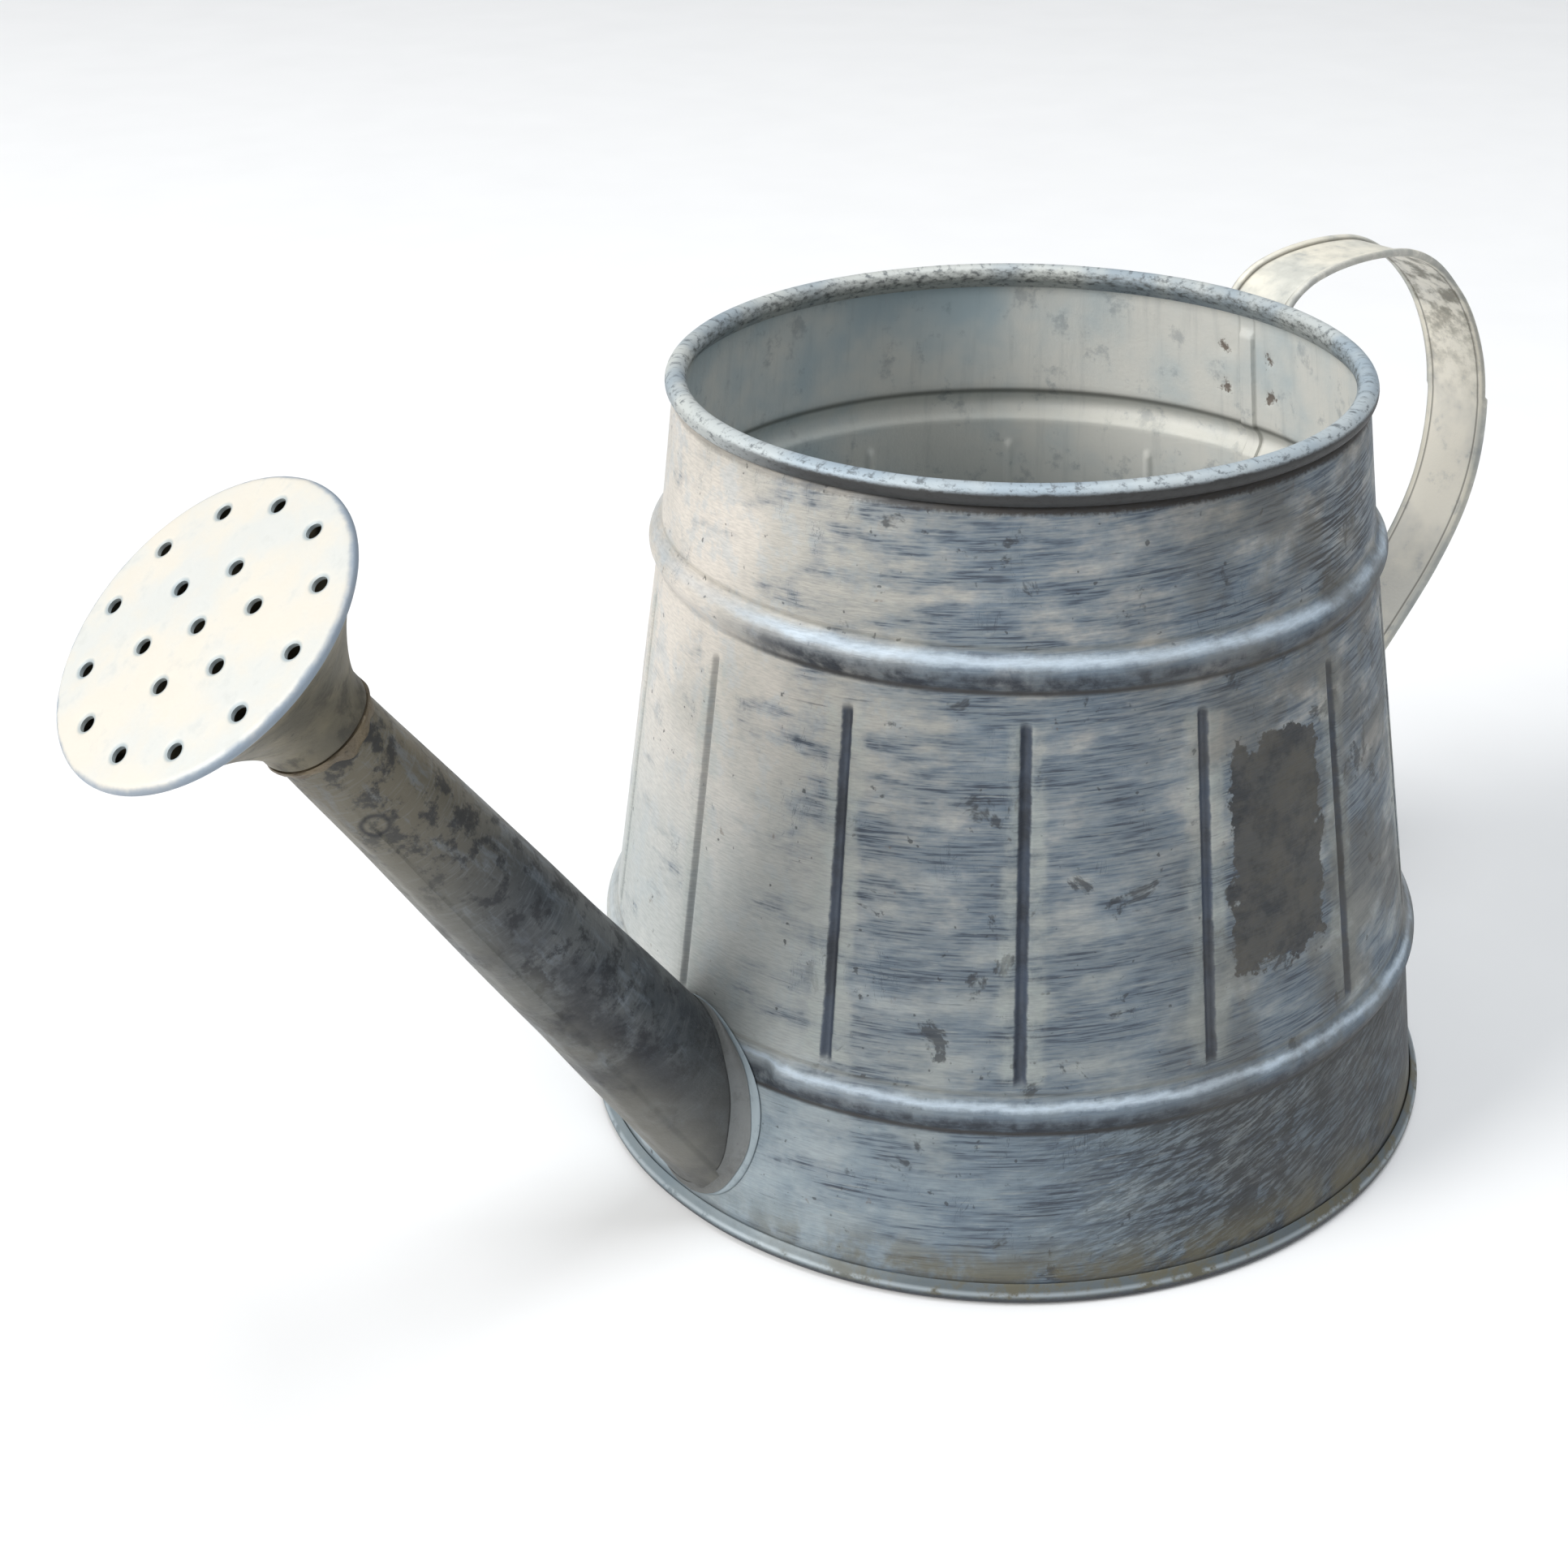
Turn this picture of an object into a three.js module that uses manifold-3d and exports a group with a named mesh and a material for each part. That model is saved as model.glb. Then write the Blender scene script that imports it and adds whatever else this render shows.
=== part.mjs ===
// Sheet-metal watering can: tapered body with two rolled beads and pressed
// vertical grooves, wired rim, seamed base, tapered spout with a round
// sprinkler rose, and a hemmed strap handle.
// Millimetres, +Z up, spout towards -X, handle towards +X, base on z = 0.
import * as THREE from "three";
import Module from "manifold-3d";

// ---------------------------------------------------------------- dimensions
const SHEET = 0.8;               // body, spout and rose sheet thickness
const GAP = 0.3;                 // clearance between pieces that touch

// Outer radius of the body wall at these heights [z, radius].
const WALL_LINE = [[1.1, 103.9], [50.5, 97.7], [139.9, 83.5], [149.9, 82.1], [177.4, 78.5]];
const FOOT_Z = 1.1;              // lower edge of the wall, just above the base plate
const BEAD_HALF = 4.4;           // half height of a rolled bead
const BEAD_OUT = 2.4;            // how far a bead stands out of the wall
const LOWER_BEAD_Z = 46.4;
const UPPER_BEAD_Z = 144.9;

const GROOVES = 14;              // pressed vertical grooves round the body
const GROOVE_PHASE = -4.2;       // degrees from the handle to the nearest groove
const GROOVE_HALF = 0.8;         // half width of a groove, degrees
const GROOVE_DEPTH = 1.1;
const GROOVE_Z = [52.4, 55.4, 132.2, 135.2];   // run-in, full depth, full depth, run-out

const SEAM_HALF = 1.4;           // half width of the lock seam, degrees
const SEAM_STEP = 0.3;           // degrees over which its edge steps down
const SEAM_IN = 0.9;             // how far the lock seam stands into the can
const SEAM_Z = [6, 174];

const ROLL_R = 77.5;             // centre of the rolled rim
const ROLL_Z = 181.0;
const ROLL_MID = 2.05;           // sheet mid-line radius round the wire
const WIRE = 1.35;               // rim wire radius
const ROLL_START = 225;          // the sheet meets the roll low on the inside
const ROLL_END = -55;            // and stops short of the wall outside
const ROLL_STEP = 35;
const ROLL_NECK_OUT = [78.25, 178.0];  // sheet between wall and roll, outer and inner face
const ROLL_NECK_IN = [77.3, 177.6];
const WALL_TOP_Z = 176.6;        // last plain section of the wall

const BASE_R = 104.8;            // flat underside
const HEM_R = 105.8;             // outer edge of the folded seam
const HEM_Z = 4.6;               // top of the folded seam
const HEM_IN = 104.2;            // inner face of the upstanding fold

const SPOUT_FOOT = [100.1, 30.5];     // spout axis, distance from the can axis and height
const SPOUT_RISE = 56.1;         // degrees above the horizontal
const SPOUT_R = 16.0;            // outer radius at SPOUT_FOOT
const SPOUT_TAPER = 0.0364;      // radius lost per millimetre
const SPOUT_START = -36;         // along the axis from SPOUT_FOOT
const SPOUT_END = 151;

const FLANGE_HALF = [21.3, 25.0];     // half width and half height of the oval plate
const FLANGE_Z = 30.2;
const FLANGE_CLEAR = 12.6;       // degrees each side of the spout with no bead
const BEAD_RUN_OUT = 2.4;        // degrees over which the lower bead fades there

const NECK_AT = 148;             // start of the rose neck along the spout axis
const NECK_SOLDER = 2.6;         // mean length of the solder below the neck
const SPOUT_SIDES = 40;
const SPOUT_HOLE_END = 45;       // how far along the spout its hole in the wall is cut
const ROSE_CENTRE = [201.9, 178.1];
const ROSE_TILT = 51.5;          // degrees, direction the rose faces
const ROSE_R = 33.5;
const ROSE_SKIRT = 1.8;          // depth of the turned edge of the face
const ROSE_DOME = 1.0;
const MOUTH_BACK = 1.6;          // mouth of the cone behind the centre of the face
const COLLAR = 2.5;              // straight neck of the cone over the spout
const COLLAR_SHARE = 0.1;        // and its share of the cone's sections
const CONE_CURVE = 1.4;          // power of the trumpet flare
const CONE_SIDES = 48;
const ROSE_SIDES = 60;
const HOLE_R = 1.65;
const HOLE_SIDES = 12;
const HOLE_RINGS = [[0, 1], [12.6, 6], [26.5, 12]];  // ring radius, number of holes
const HOLE_PHASE = 49;           // degrees from the top of the face to the nearest hole

const STRAP_HALF = 9.9;          // half width of the handle strap
const STRAP = 0.9;               // strap thickness
const HEM = 1.15;                // extra height of the rolled edges
const HEM_WIDE = 2.2;

// Mid-line of the strap [distance from the can axis, height], from the upper
// tab over the top and down to the lower tab.
const STRAP_LINE = [
  [82.6, 152.5], [81.2, 162], [80.1, 171], [80.9, 176.5], [83.6, 181.3], [89.5, 184.9],
  [97, 186.7], [106.5, 187.4], [118, 187.0], [129, 185.4], [140, 180.8], [149.5, 174.2],
  [157.5, 165.8], [163.6, 155.8], [167.7, 145], [169.5, 133.5], [169.0, 122], [166.2, 111.5],
  [161.2, 102], [153.5, 92.2], [144.4, 83.2], [134, 73.6], [122.5, 63.2], [112.4, 53.8],
  [105.4, 46.8], [101.7, 41], [100.6, 35.5], [101.2, 29.5], [102.05, 22.5],
];
const UPPER_TAB_END = 172;       // below this height the strap lies on the wall
const LOWER_TAB_END = 38;

const RAD = Math.PI / 180;

// ------------------------------------------------------------------- helpers
const wasm = await Module();
wasm.setup();

/** Straight-line reading of a table of [position, value] pairs. */
function read(table, at) {
  let i = 1;
  while (i < table.length - 1 && at > table[i][0]) i += 1;
  const [a, b] = [table[i - 1], table[i]];
  return a[1] + (b[1] - a[1]) * (at - a[0]) / (b[0] - a[0]);
}

const wallR = (z) => read(WALL_LINE, z);

/** Smooth step from 0 at a to 1 at b. */
function smooth(a, b, x) {
  const t = Math.min(1, Math.max(0, (x - a) / (b - a)));
  return t * t * (3 - 2 * t);
}

/**
 * Closed solid from rings of points. Every ring has the same count, each ring
 * closes on itself; the stack of rings closes on itself (loop) or is capped.
 */
function loft(rings, loop) {
  const n = rings[0].length;
  const points = rings.flat();
  const index = [];
  const steps = loop ? rings.length : rings.length - 1;
  for (let i = 0; i < steps; i += 1) {
    const a = i * n;
    const b = ((i + 1) % rings.length) * n;
    for (let j = 0; j < n; j += 1) {
      const k = (j + 1) % n;
      index.push(a + j, b + j, b + k, a + j, b + k, a + k);
    }
  }
  if (!loop) {
    for (const [i, flip] of [[0, true], [rings.length - 1, false]]) {
      const mid = rings[i].reduce((sum, p) => sum.add(p), new THREE.Vector3()).divideScalar(n);
      fan(index, points, mid, i * n, n, flip);
    }
  }
  return geometry(points, index);
}

/** Triangles from one ring of n points, starting at `start`, to a new point at its middle. */
function fan(index, points, middle, start, n, flip) {
  points.push(middle);
  const m = points.length - 1;
  for (let j = 0; j < n; j += 1) {
    const k = (j + 1) % n;
    if (flip) index.push(m, start + j, start + k);
    else index.push(m, start + k, start + j);
  }
}

function geometry(points, index) {
  const g = new THREE.BufferGeometry();
  g.setAttribute("position", new THREE.Float32BufferAttribute(points.flatMap((p) => [p.x, p.y, p.z]), 3));
  g.setIndex(index);
  return g;
}

/** Signed volume of a closed indexed geometry. */
function volume(g) {
  const p = g.getAttribute("position");
  const [a, b, c] = [new THREE.Vector3(), new THREE.Vector3(), new THREE.Vector3()];
  let v = 0;
  for (let i = 0; i < g.index.count; i += 3) {
    a.fromBufferAttribute(p, g.index.getX(i));
    b.fromBufferAttribute(p, g.index.getX(i + 1));
    c.fromBufferAttribute(p, g.index.getX(i + 2));
    v += a.dot(b.cross(c)) / 6;
  }
  return v;
}

/** The same geometry with its faces turned outward. */
function outward(g) {
  if (volume(g) > 0) return g;
  const ix = g.index.array;
  for (let i = 0; i < ix.length; i += 3) [ix[i], ix[i + 1]] = [ix[i + 1], ix[i]];
  return g;
}

function toSolid(g) {
  const mesh = new wasm.Mesh({
    numProp: 3,
    vertProperties: new Float32Array(g.getAttribute("position").array),
    triVerts: new Uint32Array(g.index.array),
  });
  return new wasm.Manifold(mesh);
}

function fromSolid(solid) {
  const mesh = solid.getMesh();
  const g = new THREE.BufferGeometry();
  g.setAttribute("position", new THREE.Float32BufferAttribute(Array.from(mesh.vertProperties), 3));
  g.setIndex(Array.from(mesh.triVerts));
  return g;
}

const cut = (g, ...tools) => fromSolid(tools.reduce((s, t) => s.subtract(toSolid(t)), toSolid(g)));

/** Turn a closed [radius, height] outline about the can axis at given angles. */
function turn(outline, angles, shape = (r) => r) {
  const rings = angles.map((deg) => outline.map(([r, z, face]) => {
    const s = shape(r, z, deg, face);
    return new THREE.Vector3(s * Math.cos(deg * RAD), s * Math.sin(deg * RAD), z);
  }));
  return outward(loft(rings, true));
}

/** Turn an open [radius, height] outline about a local axis, closed on the axis at both ends. */
function turnSolid(outline, count, place) {
  const rings = outline.map(([r, h]) => circle(r, h, count, place));
  return outward(loft(rings, false));
}

function circle(r, h, count, place) {
  const ring = [];
  for (let j = 0; j < count; j += 1) {
    const a = 2 * Math.PI * j / count;
    ring.push(place(r * Math.cos(a), r * Math.sin(a), h));
  }
  return ring;
}

/** Places local coordinates on an axis in the XZ plane; out is distance towards the spout. */
function axisFrame([out, z], rise) {
  const dir = new THREE.Vector3(-Math.cos(rise * RAD), 0, Math.sin(rise * RAD));
  const across = new THREE.Vector3(0, 1, 0);
  const up = new THREE.Vector3().crossVectors(dir, across);
  const origin = new THREE.Vector3(-out, 0, z);
  return (u, v, h) => origin.clone().addScaledVector(up, u).addScaledVector(across, v).addScaledVector(dir, h);
}

const group = new THREE.Group();
group.name = "watering_can";

function add(name, geometry, color, roughness = 0.55) {
  geometry.computeVertexNormals();
  const material = new THREE.MeshStandardMaterial({ color, metalness: 0.7, roughness });
  material.name = `${name}_material`;
  const mesh = new THREE.Mesh(geometry, material);
  mesh.name = name;
  group.add(mesh);
}

// ------------------------------------------------- angles round the can body
// Three columns per groove, three plain ones between grooves, the edges of
// the lock seam and the ends of the lower bead beside the spout.
const pitch = 360 / GROOVES;
const columns = [];
for (let k = 0; k < GROOVES; k += 1) {
  const at = GROOVE_PHASE + k * pitch;
  columns.push(at - GROOVE_HALF, at, at + GROOVE_HALF);
  for (let j = 1; j <= 3; j += 1) columns.push(at + pitch * j / 4);
}
for (const side of [-1, 1]) {
  columns.push(side * SEAM_HALF, side * (SEAM_HALF + SEAM_STEP));
  columns.push(180 + side * FLANGE_CLEAR, 180 + side * (FLANGE_CLEAR + BEAD_RUN_OUT));
}
columns.sort((a, b) => a - b);

/** Degrees between an angle and the nearest groove. */
function toGroove(deg) {
  const off = ((deg - GROOVE_PHASE) % pitch + pitch) % pitch;
  return Math.min(off, pitch - off);
}

/** Signed degrees from one direction, -180 to 180. */
const turnFrom = (deg, centre) => ((deg - centre + 540) % 360 + 360) % 360 - 180;

// ----------------------------------------------------------------- body wall
/** Radial push of the pressed features at a point of the wall. */
function pressed(z, deg) {
  let push = 0;
  for (const [centre, spoutSide] of [[LOWER_BEAD_Z, true], [UPPER_BEAD_Z, false]]) {
    const t = (z - centre) / BEAD_HALF;
    if (Math.abs(t) >= 1) continue;
    const here = Math.abs(turnFrom(deg, 180));
    const full = spoutSide ? smooth(FLANGE_CLEAR, FLANGE_CLEAR + BEAD_RUN_OUT, here) : 1;
    push += BEAD_OUT * full * Math.cos(t * Math.PI / 2) ** 1.2;
  }
  const along = Math.min(smooth(GROOVE_Z[0], GROOVE_Z[1], z), 1 - smooth(GROOVE_Z[2], GROOVE_Z[3], z));
  push -= GROOVE_DEPTH * along * Math.max(0, 1 - toGroove(deg) / GROOVE_HALF);
  return push;
}

function wallShape(r, z, deg, face) {
  if (face === "roll") return r;
  let s = r + pressed(z, deg);
  const seam = Math.abs(turnFrom(deg, 0)) <= SEAM_HALF + 0.01;
  if (face === "in" && seam && z > SEAM_Z[0] - 0.1 && z < SEAM_Z[1] + 0.1) s -= SEAM_IN;
  return s;
}

const bead = (z) => [-1, -0.55, 0, 0.55, 1].map((t) => z + t * BEAD_HALF);
const wallHeights = [FOOT_Z, SEAM_Z[0], ...bead(LOWER_BEAD_Z), ...GROOVE_Z, ...bead(UPPER_BEAD_Z), SEAM_Z[1],
  WALL_TOP_Z];

const rollAngles = [];
for (let a = ROLL_START; a >= ROLL_END; a -= ROLL_STEP) rollAngles.push(a);
const onRoll = (a, radius) => [ROLL_R + radius * Math.cos(a * RAD), ROLL_Z + radius * Math.sin(a * RAD), "roll"];

const wallOutline = [
  ...wallHeights.map((z) => [wallR(z), z, "out"]),
  [...ROLL_NECK_OUT, "roll"],
  ...rollAngles.map((a) => onRoll(a, ROLL_MID - SHEET / 2)),
  ...rollAngles.reverse().map((a) => onRoll(a, ROLL_MID + SHEET / 2)),
  [...ROLL_NECK_IN, "roll"],
  ...wallHeights.reverse().map((z) => [wallR(z) - SHEET, z, "in"]),
];

const onSpout = axisFrame(SPOUT_FOOT, SPOUT_RISE);
const spoutR = (h) => SPOUT_R - SPOUT_TAPER * h;

/** Solid taper along the spout axis, offset from the spout's outer skin. */
function spoutCore(offset) {
  const ends = [SPOUT_START, SPOUT_HOLE_END];
  return turnSolid(ends.map((h) => [spoutR(h) + offset, h]), SPOUT_SIDES, onSpout);
}

add("body_wall", cut(turn(wallOutline, columns, wallShape), spoutCore(GAP)), 0xa9adaa);

// ------------------------------------------------------------------ rim wire
const wireOutline = [];
for (let a = 0; a < 360; a += 45) wireOutline.push(onRoll(a + 22.5, WIRE));
add("rim_wire", turn(wireOutline, columns), 0x8f9496);

// ---------------------------------------------------------------- base plate
// Flat disc whose edge is folded up round the foot of the wall.
const basePlate = [
  [BASE_R, 0], [HEM_R - 0.25, 0.35], [HEM_R, 1.1], [HEM_R - 0.1, 2.6], [HEM_R - 0.8, HEM_Z - 0.3],
  [HEM_R - 1.1, HEM_Z], [HEM_IN - 0.25, HEM_Z], [HEM_IN, 2.4], [HEM_IN, 1.2], [HEM_IN - 0.4, SHEET],
];
const onCan = (u, v, h) => new THREE.Vector3(u, v, h);
const ringAt = ([r, z]) => columns.map((deg) => onCan(r * Math.cos(deg * RAD), r * Math.sin(deg * RAD), z));
add("base_plate", outward(loft(basePlate.map(ringAt), false)), 0x9a9a92);

// ---------------------------------------------------------------- spout tube
function tube() {
  const stations = [SPOUT_START, 20, 80, SPOUT_END];
  const outer = stations.map((h) => circle(spoutR(h), h, SPOUT_SIDES, onSpout));
  const inner = stations.reverse().map((h) => circle(spoutR(h) - SHEET, h, SPOUT_SIDES, onSpout));
  return outward(loft([...outer, ...inner], true));
}

/** Solid of everything inside the can wall, used to trim the spout root. */
function canInside(offset) {
  const heights = [-30, ...WALL_LINE.slice(0, 3).map(([z]) => z), 200];
  return turnSolid(heights.map((z) => [wallR(z) - offset, z]), 96, onCan);
}
add("spout_tube", cut(tube(), canInside(SHEET)), 0x6f7474, 0.5);

// -------------------------------------------------------------- spout flange
// Thin oval plate curved to the wall round the spout root.
function onWall(across, z, offset) {
  const r = wallR(z) + offset;
  const a = Math.PI + across / wallR(z);
  return new THREE.Vector3(r * Math.cos(a), r * Math.sin(a), z);
}

function flange() {
  const ring = (k, offset) => {
    const pts = [];
    for (let j = 0; j < 48; j += 1) {
      const a = 2 * Math.PI * j / 48;
      pts.push(onWall(k * FLANGE_HALF[0] * Math.cos(a), FLANGE_Z + k * FLANGE_HALF[1] * Math.sin(a), offset));
    }
    return pts;
  };
  const back = [0.35, 0.7, 1].map((k) => ring(k, GAP));
  const front = [1, 0.7, 0.35].map((k) => ring(k, GAP + SHEET));
  return outward(loft([...back, ...front], false));
}
add("spout_flange", cut(flange(), spoutCore(GAP)), 0x9da2a4);

// ------------------------------------------------------ solder at spout root
/**
 * Distance along the spout axis where a line standing `out` from its skin, at
 * angle a, reaches the surface standing `off` from the wall.
 */
function rootAt(a, out, off) {
  const over = (h) => {
    const r = spoutR(h) + out;
    const p = onSpout(r * Math.cos(a), r * Math.sin(a), h);
    return Math.hypot(p.x, p.y) - (wallR(p.z) + off);
  };
  let [lo, hi] = [-40, 60];
  for (let i = 0; i < 40; i += 1) {
    const mid = (lo + hi) / 2;
    if (over(mid) < 0) lo = mid;
    else hi = mid;
  }
  return (lo + hi) / 2;
}

const SOLDER_CLEAR = GAP + 0.06;      // a little more than GAP, for the flats of the spout
const SOLDER_BED = SHEET + 2 * GAP;   // solder lies on the flange, this far off the wall

function rootSolder() {
  const count = 48;
  const rings = [];
  for (let j = 0; j < count; j += 1) {
    const a = 2 * Math.PI * j / count;
    const h = rootAt(a, SOLDER_CLEAR, SOLDER_BED);
    const side = Math.abs(Math.sin(a));
    const skin = (out, along) => {
      const r = spoutR(h + along) + out;
      return onSpout(r * Math.cos(a), r * Math.sin(a), h + along);
    };
    const corner = skin(SOLDER_CLEAR, 0);
    const beyond = skin(SOLDER_CLEAR + 0.9 + 2.4 * side, 0);
    const far = onWall(Math.atan2(-beyond.y, -beyond.x) * wallR(beyond.z), beyond.z, SOLDER_BED);
    const high = skin(SOLDER_CLEAR, 3.2 + 0.8 * side);
    const waist = corner.clone().multiplyScalar(0.5).addScaledVector(far, 0.25).addScaledVector(high, 0.25);
    rings.push([corner, far, waist, high]);
  }
  return outward(loft(rings, true));
}
add("spout_solder", rootSolder(), 0x7d8384, 0.6);

// ----------------------------------------------------------------- rose cone
// Trumpet-shaped funnel: its neck slips over the spout end, its mouth takes
// the face. Sections swing from the spout axis to the axis of the rose.
const onRose = axisFrame(ROSE_CENTRE, ROSE_TILT);
const coneMouth = onRose(0, 0, -MOUTH_BACK);
const NECK_R = spoutR(NECK_AT) + GAP;    // inner radius of the neck

/** Inner section of the cone, moved out by offset; t runs from the neck (0) to the mouth (1). */
function coneSection(t, offset) {
  const neck = onSpout(0, 0, NECK_AT + COLLAR * Math.min(1, t / COLLAR_SHARE));
  const f = Math.max(0, (t - COLLAR_SHARE) / (1 - COLLAR_SHARE));
  const mid = neck.lerp(coneMouth, f);
  const rise = SPOUT_RISE + (ROSE_TILT - SPOUT_RISE) * smooth(COLLAR_SHARE, 1, t);
  const flare = (ROSE_R - SHEET - GAP - SHEET - NECK_R) * f ** CONE_CURVE;
  return circle(NECK_R + flare + offset, 0, CONE_SIDES, axisFrame([-mid.x, mid.z], rise));
}

function cone() {
  const steps = [0, COLLAR_SHARE, 0.3, 0.45, 0.6, 0.75, 0.88, 1];
  const outer = steps.map((t) => coneSection(t, SHEET));
  const inner = steps.map((t) => coneSection(t, 0)).reverse();
  return outward(loft([...outer, ...inner], true));
}
add("rose_cone", cone(), 0x8a8677);

// --------------------------------------------------------- solder at the neck
function neckSolder() {
  const rings = [];
  for (let j = 0; j < SPOUT_SIDES; j += 1) {
    const a = 2 * Math.PI * j / SPOUT_SIDES;
    const lumpy = 1 + 0.25 * Math.sin(3 * a + 0.6) + 0.15 * Math.sin(7 * a);
    const top = NECK_AT - GAP;
    const foot = top - NECK_SOLDER * lumpy;
    const inner = (h) => spoutR(h) + GAP;
    const at = (r, h) => onSpout(r * Math.cos(a), r * Math.sin(a), h);
    rings.push([
      at(inner(top), top),
      at(NECK_R + SHEET, top),
      at(inner(foot) + 0.7, (foot + NECK_AT) / 2),
      at(inner(foot) + 0.1, foot),
      at(inner(foot), foot),
    ]);
  }
  return outward(loft(rings, true));
}
add("neck_solder", neckSolder(), 0x6e6350, 0.65);

// ----------------------------------------------------------------- rose face
// Slightly domed disc with a turned edge over the mouth of the cone.
/** Height of the face above its edge, for a share of the dome. */
const domeAt = (share) => 0.35 + ROSE_DOME * share;

function face() {
  const outer = [
    [ROSE_R, -ROSE_SKIRT], [ROSE_R, -0.9], [ROSE_R - 0.35, -0.25], [ROSE_R - 1.1, 0.05],
    [24, domeAt(0.25)], [12, domeAt(0.5)],
  ];
  const inner = [
    [12, domeAt(0.5) - SHEET], [24, domeAt(0.25) - SHEET],
    [ROSE_R - 1.2, -SHEET], [ROSE_R - SHEET, -1.2], [ROSE_R - SHEET, -ROSE_SKIRT],
  ];
  const solid = [...outer, ...inner].map(([r, h]) => circle(r, h, ROSE_SIDES, onRose));
  return outward(loftDisc(solid, outer.length));
}

/** Face disc: outer rings close at the front centre, inner rings at the back centre. */
function loftDisc(rings, front) {
  const n = rings[0].length;
  const points = rings.flat();
  const index = [];
  const strip = (i, k) => {
    const [a, b] = [i * n, k * n];
    for (let j = 0; j < n; j += 1) {
      const m = (j + 1) % n;
      index.push(a + j, b + j, b + m, a + j, b + m, a + m);
    }
  };
  for (let i = 0; i < rings.length - 1; i += 1) if (i !== front - 1) strip(i, i + 1);
  strip(rings.length - 1, 0);
  const top = domeAt(0.62);
  fan(index, points, onRose(0, 0, top), (front - 1) * n, n, false);
  fan(index, points, onRose(0, 0, top - SHEET), front * n, n, true);
  return geometry(points, index);
}

const holes = [];
for (const [ring, count] of HOLE_RINGS) {
  for (let k = 0; k < count; k += 1) {
    const a = (HOLE_PHASE + 360 * k / count) * RAD;
    const [u, v] = [ring * Math.cos(a), ring * Math.sin(a)];
    const place = (x, y, h) => onRose(u + x, v + y, h);
    holes.push(turnSolid([[HOLE_R, -ROSE_SKIRT], [HOLE_R, ROSE_SKIRT]], HOLE_SIDES, place));
  }
}
add("rose_face", cut(face(), ...holes), 0xd8d5c8, 0.6);

// -------------------------------------------------------------- handle strap
// Sheet strap with both long edges rolled outwards; its ends are flattened
// onto the wall under the rim and under the lower bead.
/** Outline across the strap [y, n]; rolled is the share of the full hem height. */
function strapSection(rolled) {
  const low = STRAP / 2;
  const high = low + HEM * rolled;
  const soft = 0.5 * rolled;
  const half = [
    [STRAP_HALF - 0.5, -low], [STRAP_HALF, 0.1 - low / 2], [STRAP_HALF, high - soft],
    [STRAP_HALF - 0.5, high], [STRAP_HALF - HEM_WIDE + 0.5, high],
    [STRAP_HALF - HEM_WIDE, high - soft], [STRAP_HALF - HEM_WIDE - 0.05, low],
  ];
  return [[0, -low], ...half, [0, low], ...half.map(([y, n]) => [-y, n]).reverse()];
}

function strap() {
  const curve = new THREE.CatmullRomCurve3(
    STRAP_LINE.map(([r, z]) => new THREE.Vector3(r, 0, z)), false, "centripetal");
  const steps = 56;
  const rings = [];
  for (let i = 0; i <= steps; i += 1) {
    const p = curve.getPointAt(i / steps);
    const t = curve.getTangentAt(i / steps);
    const normal = new THREE.Vector3(-t.z, 0, t.x);
    const upper = i < steps / 2;
    const lies = upper ? 1 - smooth(UPPER_TAB_END, UPPER_TAB_END + 12, p.z)
      : 1 - smooth(LOWER_TAB_END, LOWER_TAB_END + 16, p.z);
    const rolled = upper ? Math.max(0.02, 1 - lies) : 1;
    rings.push(strapSection(rolled).map(([y, n]) => {
      const q = p.clone().addScaledVector(normal, n);
      q.y = y;
      q.x -= lies * (q.x - Math.sqrt(q.x * q.x - y * y));
      return q;
    }));
  }
  return outward(loft(rings, false));
}
add("handle_strap", strap(), 0xc4c1b4);

export default group;
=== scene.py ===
"""Looks of the sheet-metal watering can: camera, studio, detailed pieces and weathered zinc finishes."""

import math

import bmesh
import bpy
import numpy as np
from mathutils import Matrix, Vector
from mathutils.geometry import delaunay_2d_cdt


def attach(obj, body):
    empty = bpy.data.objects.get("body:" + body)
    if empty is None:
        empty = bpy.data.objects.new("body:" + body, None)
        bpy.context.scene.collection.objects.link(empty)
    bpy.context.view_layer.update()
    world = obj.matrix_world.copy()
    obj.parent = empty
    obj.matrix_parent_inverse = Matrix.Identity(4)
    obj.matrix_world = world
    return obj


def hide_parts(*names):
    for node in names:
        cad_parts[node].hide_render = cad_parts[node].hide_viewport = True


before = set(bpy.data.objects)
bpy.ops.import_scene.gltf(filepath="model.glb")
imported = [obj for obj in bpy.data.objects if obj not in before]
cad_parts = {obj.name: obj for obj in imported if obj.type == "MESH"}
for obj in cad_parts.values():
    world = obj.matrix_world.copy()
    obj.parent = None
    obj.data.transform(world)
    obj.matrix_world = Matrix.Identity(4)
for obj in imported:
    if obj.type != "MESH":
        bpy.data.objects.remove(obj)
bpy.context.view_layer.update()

MM = 0.001

# ------------------------------------------------------------------ camera
# A hand-held view from the spout side, looking down into the can.
CAMERA_AT = (-0.36971, -0.37338, 0.35394)
CAMERA_TURN = math.radians(-42.54)     # heading, 0 looks along +Y, negative turns to +X
CAMERA_DOWN = math.radians(28.30)
CAMERA_ROLL = math.radians(0.29)
LENS = 55.40
SHIFT = (-0.0931, 0.0092)


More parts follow.
